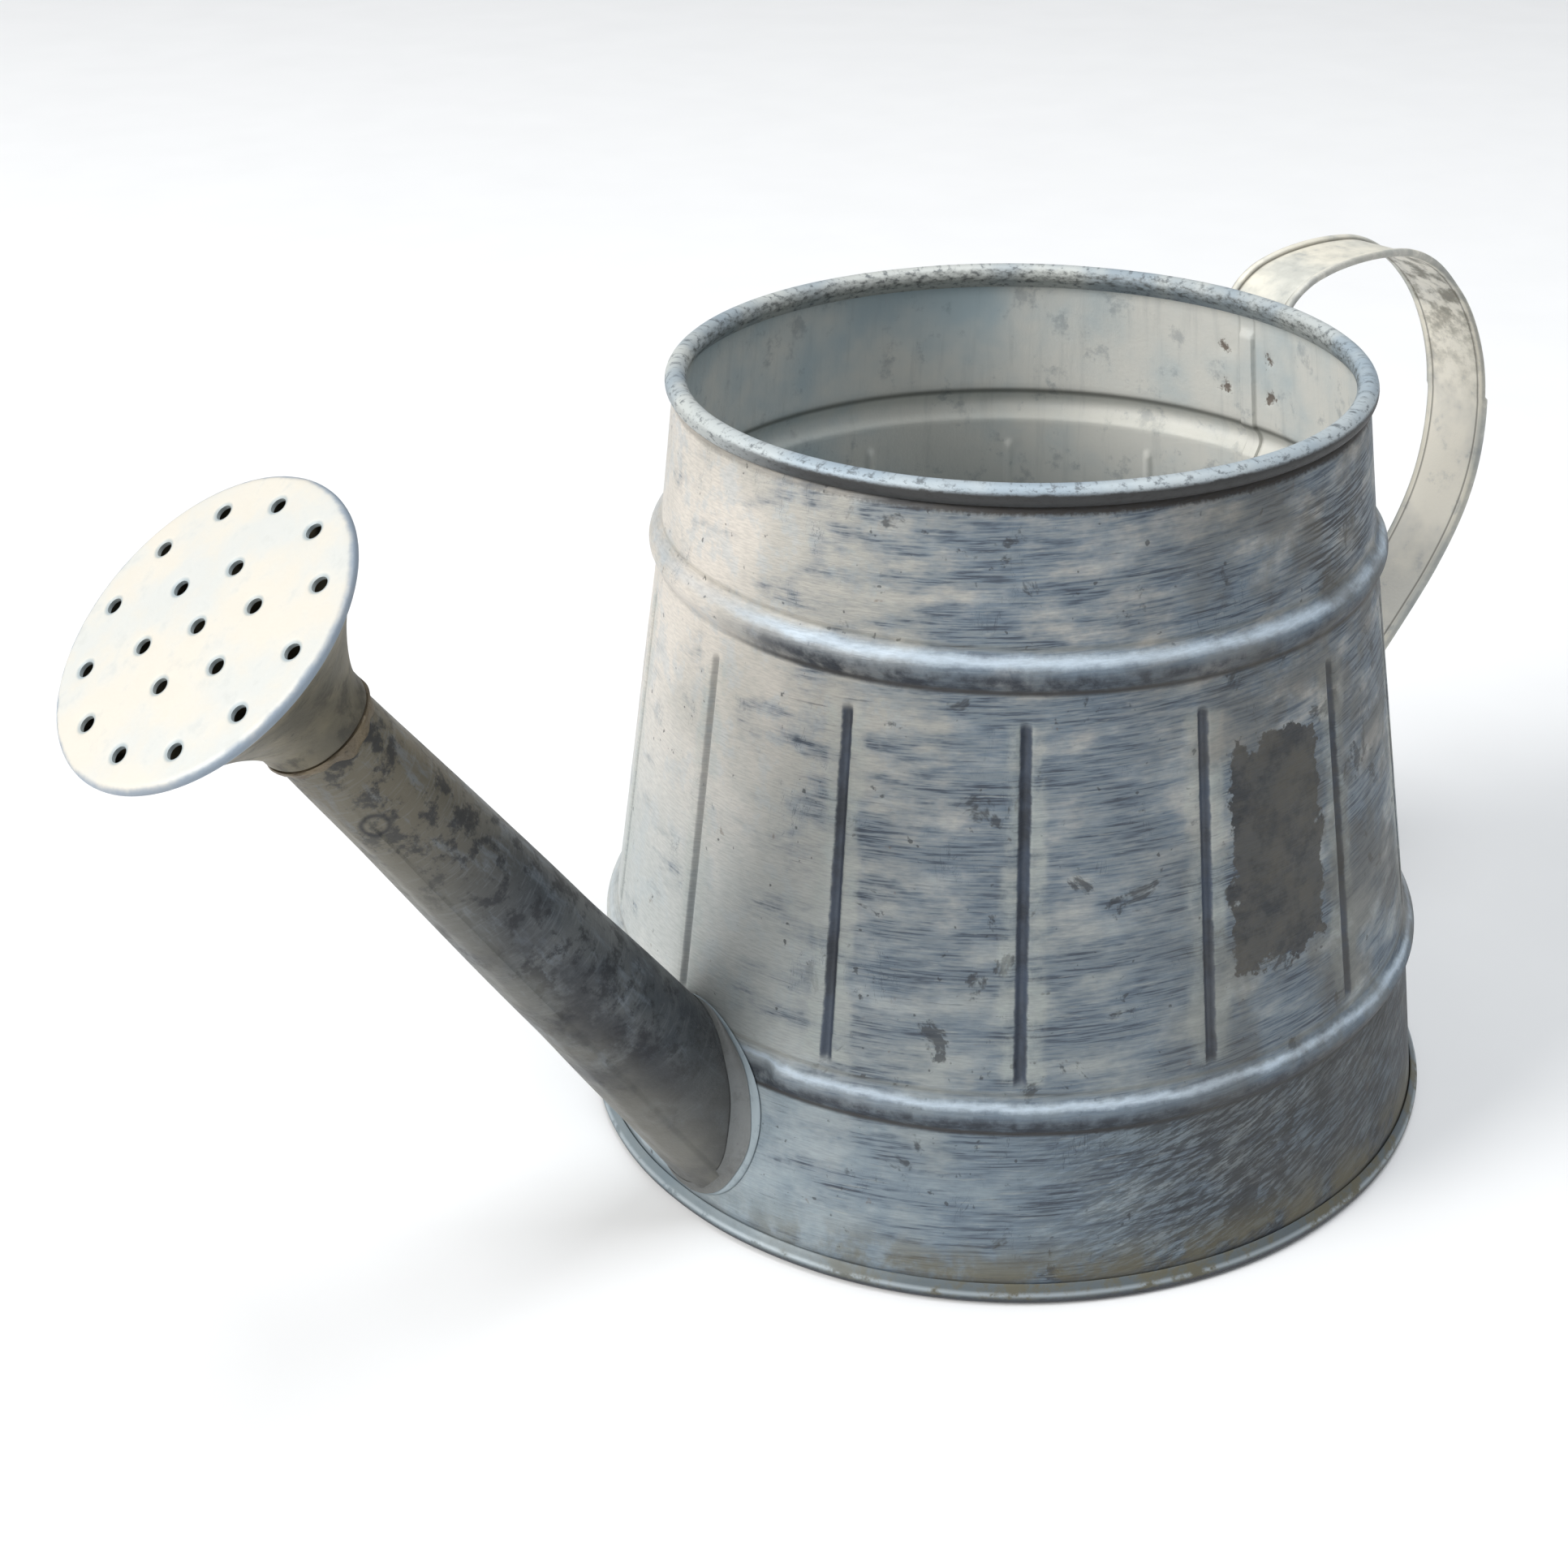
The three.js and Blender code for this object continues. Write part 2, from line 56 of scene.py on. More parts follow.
def make_camera():
    data = bpy.data.cameras.new("camera")
    data.lens = LENS
    data.sensor_width = 36
    data.shift_x, data.shift_y = SHIFT
    data.clip_start = 0.01
    camera = bpy.data.objects.new("camera", data)
    level = Matrix.Rotation(math.pi / 2 - CAMERA_DOWN, 4, "X")
    camera.matrix_world = (Matrix.Translation(CAMERA_AT) @ Matrix.Rotation(CAMERA_TURN, 4, "Z")
                           @ level @ Matrix.Rotation(CAMERA_ROLL, 4, "Z"))
    bpy.context.scene.collection.objects.link(camera)
    bpy.context.scene.camera = camera


make_camera()
bpy.context.scene.view_settings.view_transform = "Standard"

# ------------------------------------------------------------------ sizes, millimetres
SHEET = 0.8
GAP = 0.3                    # left between neighbouring pieces
WALL_Z = np.array([1.1, 50.5, 139.9, 149.9, 177.4])
WALL_R = np.array([103.9, 97.7, 83.5, 82.1, 78.5])
BEADS = (46.4, 144.9)
BEAD_HALF = 4.4
BEAD_OUT = 2.4
BEAD_EASE = 2.4              # degrees over which the lower bead dies away beside the flange
GROOVES = 14
GROOVE_PHASE = -4.2
PITCH = 360 / GROOVES
GROOVE_WIDE = 1.35           # half width of a groove
GROOVE_DEPTH = 1.1
GROOVE_Z = (52.4, 55.2, 132.4, 135.2)
SEAM_WIDE = 2.4              # half width of the lock seam
SEAM_IN = 0.9
SEAM_Z = (6.0, 174.0)
ROLL = (77.5, 181.0)         # centre of the rolled rim
ROLL_MID = 2.05
WIRE_R = 1.3
ROLL_START, ROLL_END = 225, -55
FLANGE_CLEAR = 12.6
FLANGE_HALF = (21.3, 25.0)
FLANGE_Z = 30.2
SPOUT_FOOT = (100.1, 30.5)
SPOUT_RISE = math.radians(56.1)
SPOUT_R = 16.0
SPOUT_TAPER = 0.0364
NECK_AT = 148.0
SPOUT_END = 151.0
SPOUT_ROOT = -36.0           # the tube is made this far inside and then trimmed
ROOT_CUT = 60.0              # length of the tool that opens the wall and the plate
ROSE_CENTRE = (201.9, 178.1)
ROSE_TILT = math.radians(51.5)
ROSE_R = 33.5
HOLE_R = 1.65
HOLE_RINGS = ((0, 1), (12.6, 6), (26.5, 12))
HOLE_PHASE = math.radians(49)


def smooth(a, b, x):
    t = np.clip((np.asarray(x, float) - a) / (b - a), 0, 1)
    return t * t * (3 - 2 * t)


def wall_r(z):
    """Outer radius of the plain wall, run on below the foot and above the rim."""
    z = np.asarray(z, float)
    below = WALL_R[0] + (WALL_Z[0] - z) * 0.1255
    return np.where(z < WALL_Z[0], below, np.interp(z, WALL_Z, WALL_R))


def turn_from(deg, centre):
    return (np.asarray(deg) - centre + 180) % 360 - 180


def wobble(x, y, seed):
    """Gentle hand-made unevenness, about -1 to 1, from a few crossed waves."""
    rng = np.random.default_rng(seed)
    out = 0
    for k in range(6):
        fx, fy = rng.uniform(0.6, 2.6, 2)
        px, py = rng.uniform(0, 2 * np.pi, 2)
        wave = np.sin(fx * x + px + 1.3 * np.sin(fy * y * 0.7 + py)) * np.cos(fy * y + py)
        out = out + wave / (1 + 0.4 * k)
    return out / 2.6


# ------------------------------------------------------------------ mesh helpers
def build(name, points, faces, slots=None, materials=(), smooth_all=True):
    """Mesh object from points in millimetres."""
    mesh = bpy.data.meshes.new(name)
    places = [tuple(p) for p in np.asarray(points, float) * MM]
    mesh.from_pydata(places, [], [tuple(map(int, f)) for f in faces])
    for m in materials:
        mesh.materials.append(m)
    if slots is not None:
        mesh.polygons.foreach_set("material_index", np.asarray(slots, np.int32))
    obj = bpy.data.objects.new(name, mesh)
    bpy.context.scene.collection.objects.link(obj)
    work = bmesh.new()
    work.from_mesh(mesh)
    bmesh.ops.recalc_face_normals(work, faces=work.faces)
    if work.calc_volume(signed=True) < 0:
        bmesh.ops.reverse_faces(work, faces=work.faces)
    for f in work.faces:
        f.smooth = smooth_all
    work.to_mesh(mesh)
    work.free()
    return obj


def sharpen(obj, degrees):
    """Keeps edges steeper than this crisp under smooth shading."""
    mesh = obj.data
    work = bmesh.new()
    work.from_mesh(mesh)
    limit = math.radians(degrees)
    for e in work.edges:
        if len(e.link_faces) == 2 and e.calc_face_angle(0) > limit:
            e.smooth = False
    work.to_mesh(mesh)
    work.free()
    return obj


def ring_faces(rows, cols, close_rows=False):
    """Quads of a grid whose columns wrap round, and whose rows may wrap too."""
    faces = []
    last = rows if close_rows else rows - 1
    for i in range(last):
        a, b = i * cols, ((i + 1) % rows) * cols
        for j in range(cols):
            k = (j + 1) % cols
            faces.append((a + j, a + k, b + k, b + j))
    return faces


def tube(name, rings, material):
    """Closed skin through rings whose last joins the first."""
    return build(name, np.concatenate(rings), ring_faces(len(rings), len(rings[0]), True), None, [material])


def finish_piece(obj, slot, *nodes):
    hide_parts(*nodes)
    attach(obj, "root")


def axis_frame(place, rise):
    """Origin and directions (up, across, along) of an axis in the plane of the spout."""
    along = np.array([-math.cos(rise), 0, math.sin(rise)])
    across = np.array([0.0, 1.0, 0.0])
    up = np.cross(along, across)
    origin = np.array([-place[0], 0, place[1]])
    return origin, up, across, along


def on_axis(axis, u, v, h):
    origin, up, across, along = axis
    u, v, h = (np.asarray(a, float)[..., None] for a in (u, v, h))
    return origin + up * u + across * v + along * h


SPOUT = axis_frame(SPOUT_FOOT, SPOUT_RISE)
ROSE = axis_frame(ROSE_CENTRE, ROSE_TILT)


def spout_r(h):
    """Plain outer radius of the spout at this place up its axis."""
    return SPOUT_R - SPOUT_TAPER * np.asarray(h, float)


# ------------------------------------------------------------------ body wall
DEGREES_A_MM = 0.66          # about this far round the wall for a millimetre
WELDS = [(side, z) for side in (-7.2, 7.2) for z in (158.0, 168.0)]


def wall_angles():
    """Columns round the can: close across grooves and the lock seam, wider between."""
    near = np.array([0, 0.3, 0.6, 0.9, 1.2, 1.5, 2.1]) * DEGREES_A_MM
    ease = FLANGE_CLEAR + BEAD_EASE
    marks = [180 - ease, 180 - FLANGE_CLEAR, 180 + FLANGE_CLEAR, 180 + ease]
    marks += list(np.array([-2.8, -2.4, -2.0, -1, 1, 2.0, 2.4, 2.8]) * DEGREES_A_MM)
    for k in range(GROOVES):
        at = GROOVE_PHASE + k * PITCH
        marks += list(at + near) + list(at - near[1:])
        marks += list(at + np.linspace(0, PITCH, 17)[2:-1])
    marks = np.sort(np.array(marks) % 360)
    keep = [marks[0]]
    for a in marks[1:]:
        if a - keep[-1] > 0.12:
            keep.append(a)
    return np.array(keep)


def to_groove(deg):
    """Signed degrees from the nearest groove."""
    return (np.asarray(deg) - GROOVE_PHASE + PITCH / 2) % PITCH - PITCH / 2


def bead_shape(z, deg):
    push = 0
    for centre in BEADS:
        t = np.clip((z - centre) / BEAD_HALF, -1, 1)
        full = 1
        if centre == BEADS[0]:
            full = smooth(FLANGE_CLEAR, FLANGE_CLEAR + BEAD_EASE, np.abs(turn_from(deg, 180)))
        push = push + BEAD_OUT * full * np.cos(t * np.pi / 2) ** 1.25
    return push


def groove_shape(z, deg):
    along = np.minimum(smooth(GROOVE_Z[0], GROOVE_Z[1], z), 1 - smooth(GROOVE_Z[2], GROOVE_Z[3], z))
    across = np.abs(np.radians(to_groove(deg)) * wall_r(z)) / GROOVE_WIDE
    channel = np.clip(1 - across ** 2, 0, 1) ** 1.4
    swell = 0.28 * np.exp(-((across - 2.1) / 1.0) ** 2)
    return along * (swell - GROOVE_DEPTH * channel)


def dents(z, deg):
    a = np.radians(deg)
    return 0.22 * wobble(2.2 * np.cos(a) + 0.012 * z, 2.2 * np.sin(a) + 0.02 * z, 5)


def wall_out(z, deg):
    shaped = wall_r(z) + bead_shape(z, deg) + groove_shape(z, deg)
    return shaped + dents(z, deg) * smooth(4, 14, z) * (1 - smooth(166, 176, z))


def wall_in(z, deg):
    r = wall_out(z, deg) - SHEET - 0.45 * groove_shape(z, deg)
    side = np.radians(turn_from(deg, 0)) * wall_r(z)
    strip = 1 - smooth(SEAM_WIDE - 0.5, SEAM_WIDE, np.abs(side))
    low, high = SEAM_Z
    r = r - SEAM_IN * strip * smooth(low, low + 1, z) * (1 - smooth(high - 1, high, z))
    for across, height in WELDS:
        d = np.hypot(side - across, z - height)
        r = r + 0.45 * np.exp(-(d / 1.5) ** 2)
    return r


def wall_heights():
    """Rows up the can: close over the beads and the ends of the grooves, wider between."""
    bead = BEAD_HALF * np.linspace(-1.05, 1.05, 19)
    parts = [[1.1], np.linspace(3, 40.5, 13)]
    parts += [BEADS[0] + bead, np.linspace(52.0, 56, 7)]
    parts += [np.linspace(59, 129, 24), np.linspace(131.8, 135.8, 7), [137.5, 139.4]]
    parts += [BEADS[1] + bead, np.linspace(151.5, 174, 21), [175.2, 176.6]]
    return np.concatenate(parts)


def roll_ring(angle, radius, deg):
    """One ring of the rolled rim, at this angle round the wire."""
    lift = 0.12 * wobble(3 * np.cos(np.radians(deg)), 3 * np.sin(np.radians(deg)), 11)
    r = ROLL[0] + radius * math.cos(angle) + 0.12 * wobble(4 * np.cos(np.radians(deg)), 2, 3)
    return r, ROLL[1] + radius * math.sin(angle) + lift


def make_wall(materials):
    deg = wall_angles()
    cols = len(deg)
    cos, sin = np.cos(np.radians(deg)), np.sin(np.radians(deg))
    heights = wall_heights()
    sweep = np.radians(np.linspace(ROLL_START, ROLL_END, 26))
    rings, slots = [], []

    def ring(r, z, slot):
        r, z = np.broadcast_to(r, cols), np.broadcast_to(z, cols)
        rings.append(np.stack([r * cos, r * sin, z], 1))
        slots.extend([slot] * cols)

    for z in heights:
        ring(wall_out(z, deg), z, 0)
    ring(78.25, 178.0, 0)
    for a in sweep:
        ring(*roll_ring(a, ROLL_MID - SHEET / 2, deg), 1)
    for a in sweep[::-1]:
        ring(*roll_ring(a, ROLL_MID + SHEET / 2, deg), 1)
    ring(77.3, 177.6, 2)
    for z in heights[::-1]:
        ring(wall_in(z, deg), z, 2)
    points = np.concatenate(rings)
    return build("can_wall", points, ring_faces(len(rings), cols, True), slots, materials)


def spout_cutter(offset, start, end, count=96):
    """Solid taper along the spout, a little wider than its skin."""
    a = np.linspace(0, 2 * np.pi, count, endpoint=False)
    rings = []
    for h in (start, end):
        r = spout_r(h) + offset
        rings.append(on_axis(SPOUT, r * np.cos(a), r * np.sin(a), np.full(count, h)))
    faces = ring_faces(2, count) + [tuple(range(count))[::-1], tuple(range(count, 2 * count))]
    return build("spout_cutter", np.concatenate(rings), faces, smooth_all=False)


def inside_cutter(offset, count=180):
    """Solid filling the can up to the inner face of its wall, to trim the spout root."""
    a = np.linspace(0, 2 * np.pi, count, endpoint=False)
    heights = (-30.0, 1.1, 50.5, 139.9, 176.0)
    rings = []
    for z in heights:
        r = wall_r(z) - offset
        rings.append(np.stack([r * np.cos(a), r * np.sin(a), np.full(count, z)], 1))
    last = (len(heights) - 1) * count
    faces = ring_faces(len(heights), count)
    faces += [tuple(range(count))[::-1], tuple(range(last, last + count))]
    return build("inside_cutter", np.concatenate(rings), faces, smooth_all=False)


def carve(obj, cutter):
    """Cuts one solid from another and removes the cutter."""
    mod = obj.modifiers.new("carve", "BOOLEAN")
    mod.object = cutter
    mod.solver = "EXACT"
    mod.operation = "DIFFERENCE"
    graph = bpy.context.evaluated_depsgraph_get()
    mesh = bpy.data.meshes.new_from_object(obj.evaluated_get(graph))
    obj.modifiers.clear()
    old = obj.data
    obj.data = mesh
    bpy.data.meshes.remove(old)
    bpy.data.objects.remove(cutter)
    return obj


# ------------------------------------------------------------------ turned pieces
def turned(name, outline, count, material):
    """Ring-shaped solid turned about the can's axis from a closed outline."""
    a = np.linspace(0, 2 * np.pi, count, endpoint=False)
    rings = []
    for r, z in outline:
        rings.append(np.stack([r * np.cos(a), r * np.sin(a), np.full(count, float(z))], 1))
    return tube(name, rings, material)


def make_base(material):
    """Flat disc with its edge folded up round the foot of the wall."""
    lip = [(103.4, 0.0), (104.4, 0.05), (105.1, 0.35), (105.55, 0.85), (105.75, 1.5), (105.78, 2.1)]
    lip += [(105.6, 2.6)]
    fold = [(105.2, 3.0), (104.85, 3.6), (104.45, 4.1), (104.15, 4.5), (103.98, 4.6), (103.85, 4.5)]
    back = [(103.95, 3.4), (104.1, 2.2), (104.15, 1.4), (103.9, 0.95), (103.3, 0.8)]
    spread = (12, 28, 44, 60, 76, 90, 98)
    plate_top = [(r, SHEET) for r in spread[::-1]]
    plate_low = [(r, 0.0) for r in spread]
    outline = plate_low + lip + fold + back + plate_top
    count = 288
    a = np.linspace(0, 2 * np.pi, count, endpoint=False)
    rings = []
    for r, z in outline:
        edge = smooth(100, 105, r)
        rr = r - 0.12 * edge * (1 + wobble(5 * np.cos(a), 5 * np.sin(a), 21))
        rings.append(np.stack([rr * np.cos(a), rr * np.sin(a), np.full(count, float(z))], 1))
    points = np.concatenate(rings + [np.array([[0, 0, 0.0], [0, 0, SHEET]])])
    rows = len(outline)
    faces = ring_faces(rows, count)
    low, top = rows * count, rows * count + 1
    last = (rows - 1) * count
    for j in range(count):
        k = (j + 1) % count
        faces.append((k, j, low))
        faces.append((last + j, last + k, top))
    return build("can_base", points, faces, None, [material])


def make_wire(material):
    """The wire inside the rolled rim."""
    a = np.linspace(0, 2 * np.pi, 16, endpoint=False)
    outline = [(ROLL[0] + WIRE_R * math.cos(t), ROLL[1] + WIRE_R * math.sin(t)) for t in a]
    return turned("edge_wire", outline, 240, material)


# ------------------------------------------------------------------ spout
# Each: place up the spout, angle round it, half width, depth.
SPOUT_DINTS = ((28, -1.1, 6, 0.5), (96, 2.2, 9, 0.45), (64, -2.4, 7, 0.35), (120, -0.9, 8, 0.3))


def spout_skin(h, a):
    """Outer radius of the spout with its lap seam and hand-made unevenness."""
    r = spout_r(h) + 0.26 * wobble(1.6 * np.cos(a) + h * 0.035, 1.6 * np.sin(a) - h * 0.028, 8)
    for at, around, wide, deep in SPOUT_DINTS:
        gap = (a - around + np.pi) % (2 * np.pi) - np.pi
        r = r - deep * np.exp(-((h - at) / wide) ** 2 - (gap * r / wide) ** 2)
    lap = (a + 0.75 + np.pi) % (2 * np.pi) - np.pi
    r = r + 0.42 * smooth(-0.10, -0.085, lap) * (1 - smooth(0.30, 0.55, lap)) * (1 - smooth(126, 140, h))
    return r


def make_spout(material):
    count = 160
    a = np.linspace(-np.pi, np.pi, count, endpoint=False)
    along = np.linspace(SPOUT_ROOT, SPOUT_END, 130)
    rings = []
    for heights, inset in ((along, 0), (along[::-1], SHEET)):
        for h in heights:
            r = spout_skin(h, a) - inset
            rings.append(on_axis(SPOUT, r * np.cos(a), r * np.sin(a), np.full(count, h)))
    obj = tube("spout_pipe", rings, material)
    return carve(obj, inside_cutter(SHEET))


def on_wall(across, z, offset):
    """Point standing off the wall beside the spout: across is millimetres round the wall."""
    r = wall_r(z) + offset
    a = np.pi + across / wall_r(z)
    return np.stack([r * np.cos(a), r * np.sin(a), np.broadcast_to(z, np.shape(r))], -1)


def make_flange(material):
    """Thin oval plate lying on the wall, its edge turned down to it."""
    count = 144
    a = np.linspace(0, 2 * np.pi, count, endpoint=False)
    edge = 1 + 0.012 * np.sin(2 * a + 0.5) + 0.01 * np.sin(5 * a)
    rows = []
    profile = [(k, GAP) for k in (0.3, 0.5, 0.7, 0.85, 0.95, 0.985)]
    profile += [(0.995, 0.31), (1.0, 0.38), (0.995, 0.52), (0.98, 0.68), (0.95, 0.8)]
    profile += [(k, 0.84) for k in (0.85, 0.7, 0.5, 0.3)]
    for k, off in profile:
        across = k * FLANGE_HALF[0] * np.cos(a) * edge
        z = FLANGE_Z + k * FLANGE_HALF[1] * np.sin(a) * edge
        rows.append(on_wall(across, z, off + 0.05 * wobble(across * 0.2, z * 0.2, 31)))
    faces = ring_faces(len(rows), count)
    last = (len(rows) - 1) * count
    faces += [tuple(range(count)), tuple(range(last, last + count))[::-1]]
    obj = build("spout_plate", np.concatenate(rows), faces, None, [material])
    return carve(obj, spout_cutter(GAP, SPOUT_ROOT, ROOT_CUT))


def root_at(a, out, off):
    """Where a line standing off the spout's skin, at angle a, meets a shell standing off the wall."""
    low, high = np.full(np.shape(a), -40.0), np.full(np.shape(a), 60.0)
    for _ in range(40):
        mid = (low + high) / 2
        r = spout_r(mid) + out
        p = on_axis(SPOUT, r * np.cos(a), r * np.sin(a), mid)
        inside = np.hypot(p[..., 0], p[..., 1]) < wall_r(p[..., 2]) + off
        low, high = np.where(inside, mid, low), np.where(inside, high, mid)
    return (low + high) / 2


def make_root_solder(material):
    """Hollow-sided fillet of solder between the spout and its plate."""
    count = 160
    a = np.linspace(0, 2 * np.pi, count, endpoint=False)
    clear, bed = 0.15, 0.98
    h = root_at(a, clear, bed)
    side = np.abs(np.sin(a))
    lumps = 1 + 0.10 * np.sin(3 * a + 1) + 0.07 * np.sin(8 * a)

    def skin(out, lift):
        r = spout_r(h + lift) + clear + out
        return on_axis(SPOUT, r * np.cos(a), r * np.sin(a), h + lift)

    corner = skin(0, 0)
    beyond = skin((0.9 + 2.4 * side) * lumps, 0)
    flat = np.arctan2(-beyond[:, 1], -beyond[:, 0]) * wall_r(beyond[:, 2])
    far = on_wall(flat, beyond[:, 2], bed)
    high = skin(0.02, (3.2 + 0.8 * side) * lumps)
    rows = [corner, (corner + far) / 2, far]
    for t in np.linspace(0.12, 0.88, 7):
        pull = 0.78 * corner + 0.11 * (far + high)
        rows.append((1 - t) ** 2 * far + 2 * t * (1 - t) * pull + t ** 2 * high)
    rows += [high, (corner + high) / 2]
    return tube("root_solder", rows, material)


# ------------------------------------------------------------------ rose
NECK_R = float(spout_r(NECK_AT)) + GAP
COLLAR = 2.5                 # length of the straight start of the funnel
COLLAR_SHARE = 0.1           # share of the funnel's rings spent on it
CONE_CURVE = 1.4
MOUTH_BACK = 1.6             # from the middle of the face back to the funnel's mouth
NECK_SOLDER = 2.6
MOUTH = np.array([
    -(ROSE_CENTRE[0] - MOUTH_BACK * math.cos(ROSE_TILT)), 0,
    ROSE_CENTRE[1] - MOUTH_BACK * math.sin(ROSE_TILT)])
FACE_RIM = 31.4              # the domed part of the face ends here and its turned edge starts
HOLE_SIDES = 28
FACE_STEP = 1.9


def cone_ring(t, offset, a):
    """Section of the funnel: t runs from its collar on the spout to its mouth."""
    neck = on_axis(SPOUT, 0, 0, NECK_AT + COLLAR * min(1, t / COLLAR_SHARE))
    f = max(0, (t - COLLAR_SHARE) / (1 - COLLAR_SHARE))
    mid = neck * (1 - f) + MOUTH * f
    rise = SPOUT_RISE + (ROSE_TILT - SPOUT_RISE) * float(smooth(COLLAR_SHARE, 1, t))
    flare = (ROSE_R - 1.9 - NECK_R) * f ** CONE_CURVE
    r = NECK_R + flare + offset + 0.12 * wobble(2 * np.cos(a) + 3 * t, 2 * np.sin(a), 15)
    return on_axis(axis_frame((-mid[0], mid[2]), rise), r * np.cos(a), r * np.sin(a), np.zeros_like(a))


def make_cone(material):
    count = 144
    a = np.linspace(0, 2 * np.pi, count, endpoint=False)
    steps = np.concatenate([[0, 0.03], np.linspace(0.08, 0.99, 30), [1]])
    rings = [cone_ring(t, SHEET - (0.25 if t < 0.01 else 0), a) for t in steps]
    rings += [cone_ring(t, 0, a) for t in steps[::-1]]
    return tube("rose_funnel", rings, material)


def make_neck_solder(material):
    """Rough ring of solder under the collar of the funnel."""
    count = 144
    a = np.linspace(0, 2 * np.pi, count, endpoint=False)
    lumps = 1 + 0.25 * np.sin(3 * a + 0.6) + 0.15 * np.sin(7 * a) + 0.12 * np.sin(13 * a + 2)
    top = NECK_AT - GAP
    foot = top - NECK_SOLDER * lumps
    rows = []
    for r, h in ((spout_r(top) + GAP, top), (NECK_R + SHEET, top)):
        rows.append(on_axis(SPOUT, r * np.cos(a), r * np.sin(a), np.full(count, h)))
    for t in (0.15, 0.35, 0.55, 0.75, 0.92, 1.0):
        h = top + (foot - top) * t
        r = spout_r(h) + 0.32 + 1.0 * (1 - t) ** 0.7 + 0.14 * np.sin(9 * a + 6 * t) * (1 - t)
        rows.append(on_axis(SPOUT, r * np.cos(a), r * np.sin(a), h))
    return tube("neck_ring", rows, material)


def hole_centres():
    """Places of the 19 holes in the plane of the face."""
    out = []
    for ring, count in HOLE_RINGS:
        for k in range(count):
            a = HOLE_PHASE + 2 * math.pi * k / count
            out.append((ring * math.cos(a), ring * math.sin(a)))
    return np.array(out)


def make_face(material):
    """Slightly domed disc with punched holes and its edge turned back over the funnel."""
    centres = hole_centres()
    count = 120
    points, edges = [], []

    def loop(cx, cy, r, n, closed, turn=0.0):
        start = len(points)
        for j in range(n):
            a = 2 * math.pi * (j + turn) / n
            points.append((cx + r * math.cos(a), cy + r * math.sin(a)))
        if closed:
            edges.extend((start + j, start + (j + 1) % n) for j in range(n))
        return start

    rim_start = loop(0, 0, FACE_RIM, count, True)
    loop(0, 0, FACE_RIM - 0.9, count, False, 0.5)
    hole_starts = [loop(x, y, HOLE_R, HOLE_SIDES, True) for x, y in centres]
    for x, y in centres:
        for k, r in enumerate((HOLE_R + 0.25, HOLE_R + 0.55, HOLE_R + 1.0)):
            loop(x, y, r, HOLE_SIDES, False, 0.5 * (k % 2 == 0))
    for i in range(-20, 21):
        for j in range(-22, 23):
            x, y = (i + 0.5 * (j % 2)) * FACE_STEP, j * FACE_STEP * 0.87
            room = np.hypot(*(centres - (x, y)).T).min()
            if math.hypot(x, y) < FACE_RIM - 1.8 and room > HOLE_R + 1.7:
                points.append((x, y))
    flat, _, tris, _, _, _ = delaunay_2d_cdt([Vector(p) for p in points], edges, [], 0, 1e-5)
    flat = np.array([tuple(p) for p in flat])
    keep = []
    for t in tris:
        mid = flat[list(t)].mean(0)
        if np.hypot(*(centres - mid).T).min() > HOLE_R * 0.999 and np.hypot(*mid) < FACE_RIM:
            keep.append(t)
    reach = np.hypot(flat[:, 0], flat[:, 1])
    near = np.min(np.hypot(flat[:, None, 0] - centres[:, 0], flat[:, None, 1] - centres[:, 1]), 1)
    height = 0.95 * (1 - (reach / 33) ** 2) - 0.28 * np.exp(-((near - HOLE_R) / 0.42) ** 2)
    height = height + 0.05 * wobble(flat[:, 0] * 0.12, flat[:, 1] * 0.12, 2)
    top = on_axis(ROSE, flat[:, 0], flat[:, 1], height)
    low = on_axis(ROSE, flat[:, 0], flat[:, 1], height - SHEET)
    n = len(flat)
    faces = [tuple(t) for t in keep] + [tuple(n + v for v in reversed(t)) for t in keep]
    for start in hole_starts:
        for j in range(HOLE_SIDES):
            k = (j + 1) % HOLE_SIDES
            faces.append((start + j, start + k, n + start + k, n + start + j))
    rows = [np.arange(rim_start, rim_start + count)]
    extra = []
    a = np.linspace(0, 2 * np.pi, count, endpoint=False)
    edge = [(31.8, 0.07), (32.3, -0.02), (32.75, -0.2), (33.1, -0.5), (33.3, -0.85), (33.35, -1.2)]
    edge += [(33.3, -1.5), (33.15, -1.72), (32.95, -1.76), (32.76, -1.65), (32.7, -1.4), (32.6, -1.15)]
    edge += [(32.35, -0.92), (32.0, -0.8)]
    for r, h in edge:
        rows.append(2 * n + len(extra) * count + np.arange(count))
        extra.append(on_axis(ROSE, r * np.cos(a), r * np.sin(a), np.full(count, h)))
    rows.append(n + rows[0])
    for i in range(len(rows) - 1):
        for j in range(count):
            k = (j + 1) % count
            faces.append((rows[i][j], rows[i][k], rows[i + 1][k], rows[i + 1][j]))
    points3 = np.concatenate([top, low] + extra)
    return sharpen(build("rose_disc", points3, faces, None, [material]), 50)


# ------------------------------------------------------------------ handle
STRAP_LINE = np.array([
    (82.6, 152.5), (81.2, 162), (80.1, 171), (80.9, 176.5), (83.6, 181.3), (89.5, 184.9),
    (97, 186.7), (106.5, 187.4), (118, 187.0), (129, 185.4), (140, 180.8), (149.5, 174.2),
    (157.5, 165.8), (163.6, 155.8), (167.7, 145), (169.5, 133.5), (169.0, 122), (166.2, 111.5),
    (161.2, 102), (153.5, 92.2), (144.4, 83.2), (134, 73.6), (122.5, 63.2), (112.4, 53.8),
    (105.4, 46.8), (101.7, 41), (100.6, 35.5), (101.2, 29.5), (102.05, 22.5)])
STRAP_HALF = 9.85            # half the strap's width
STRAP = 0.9                  # its thickness


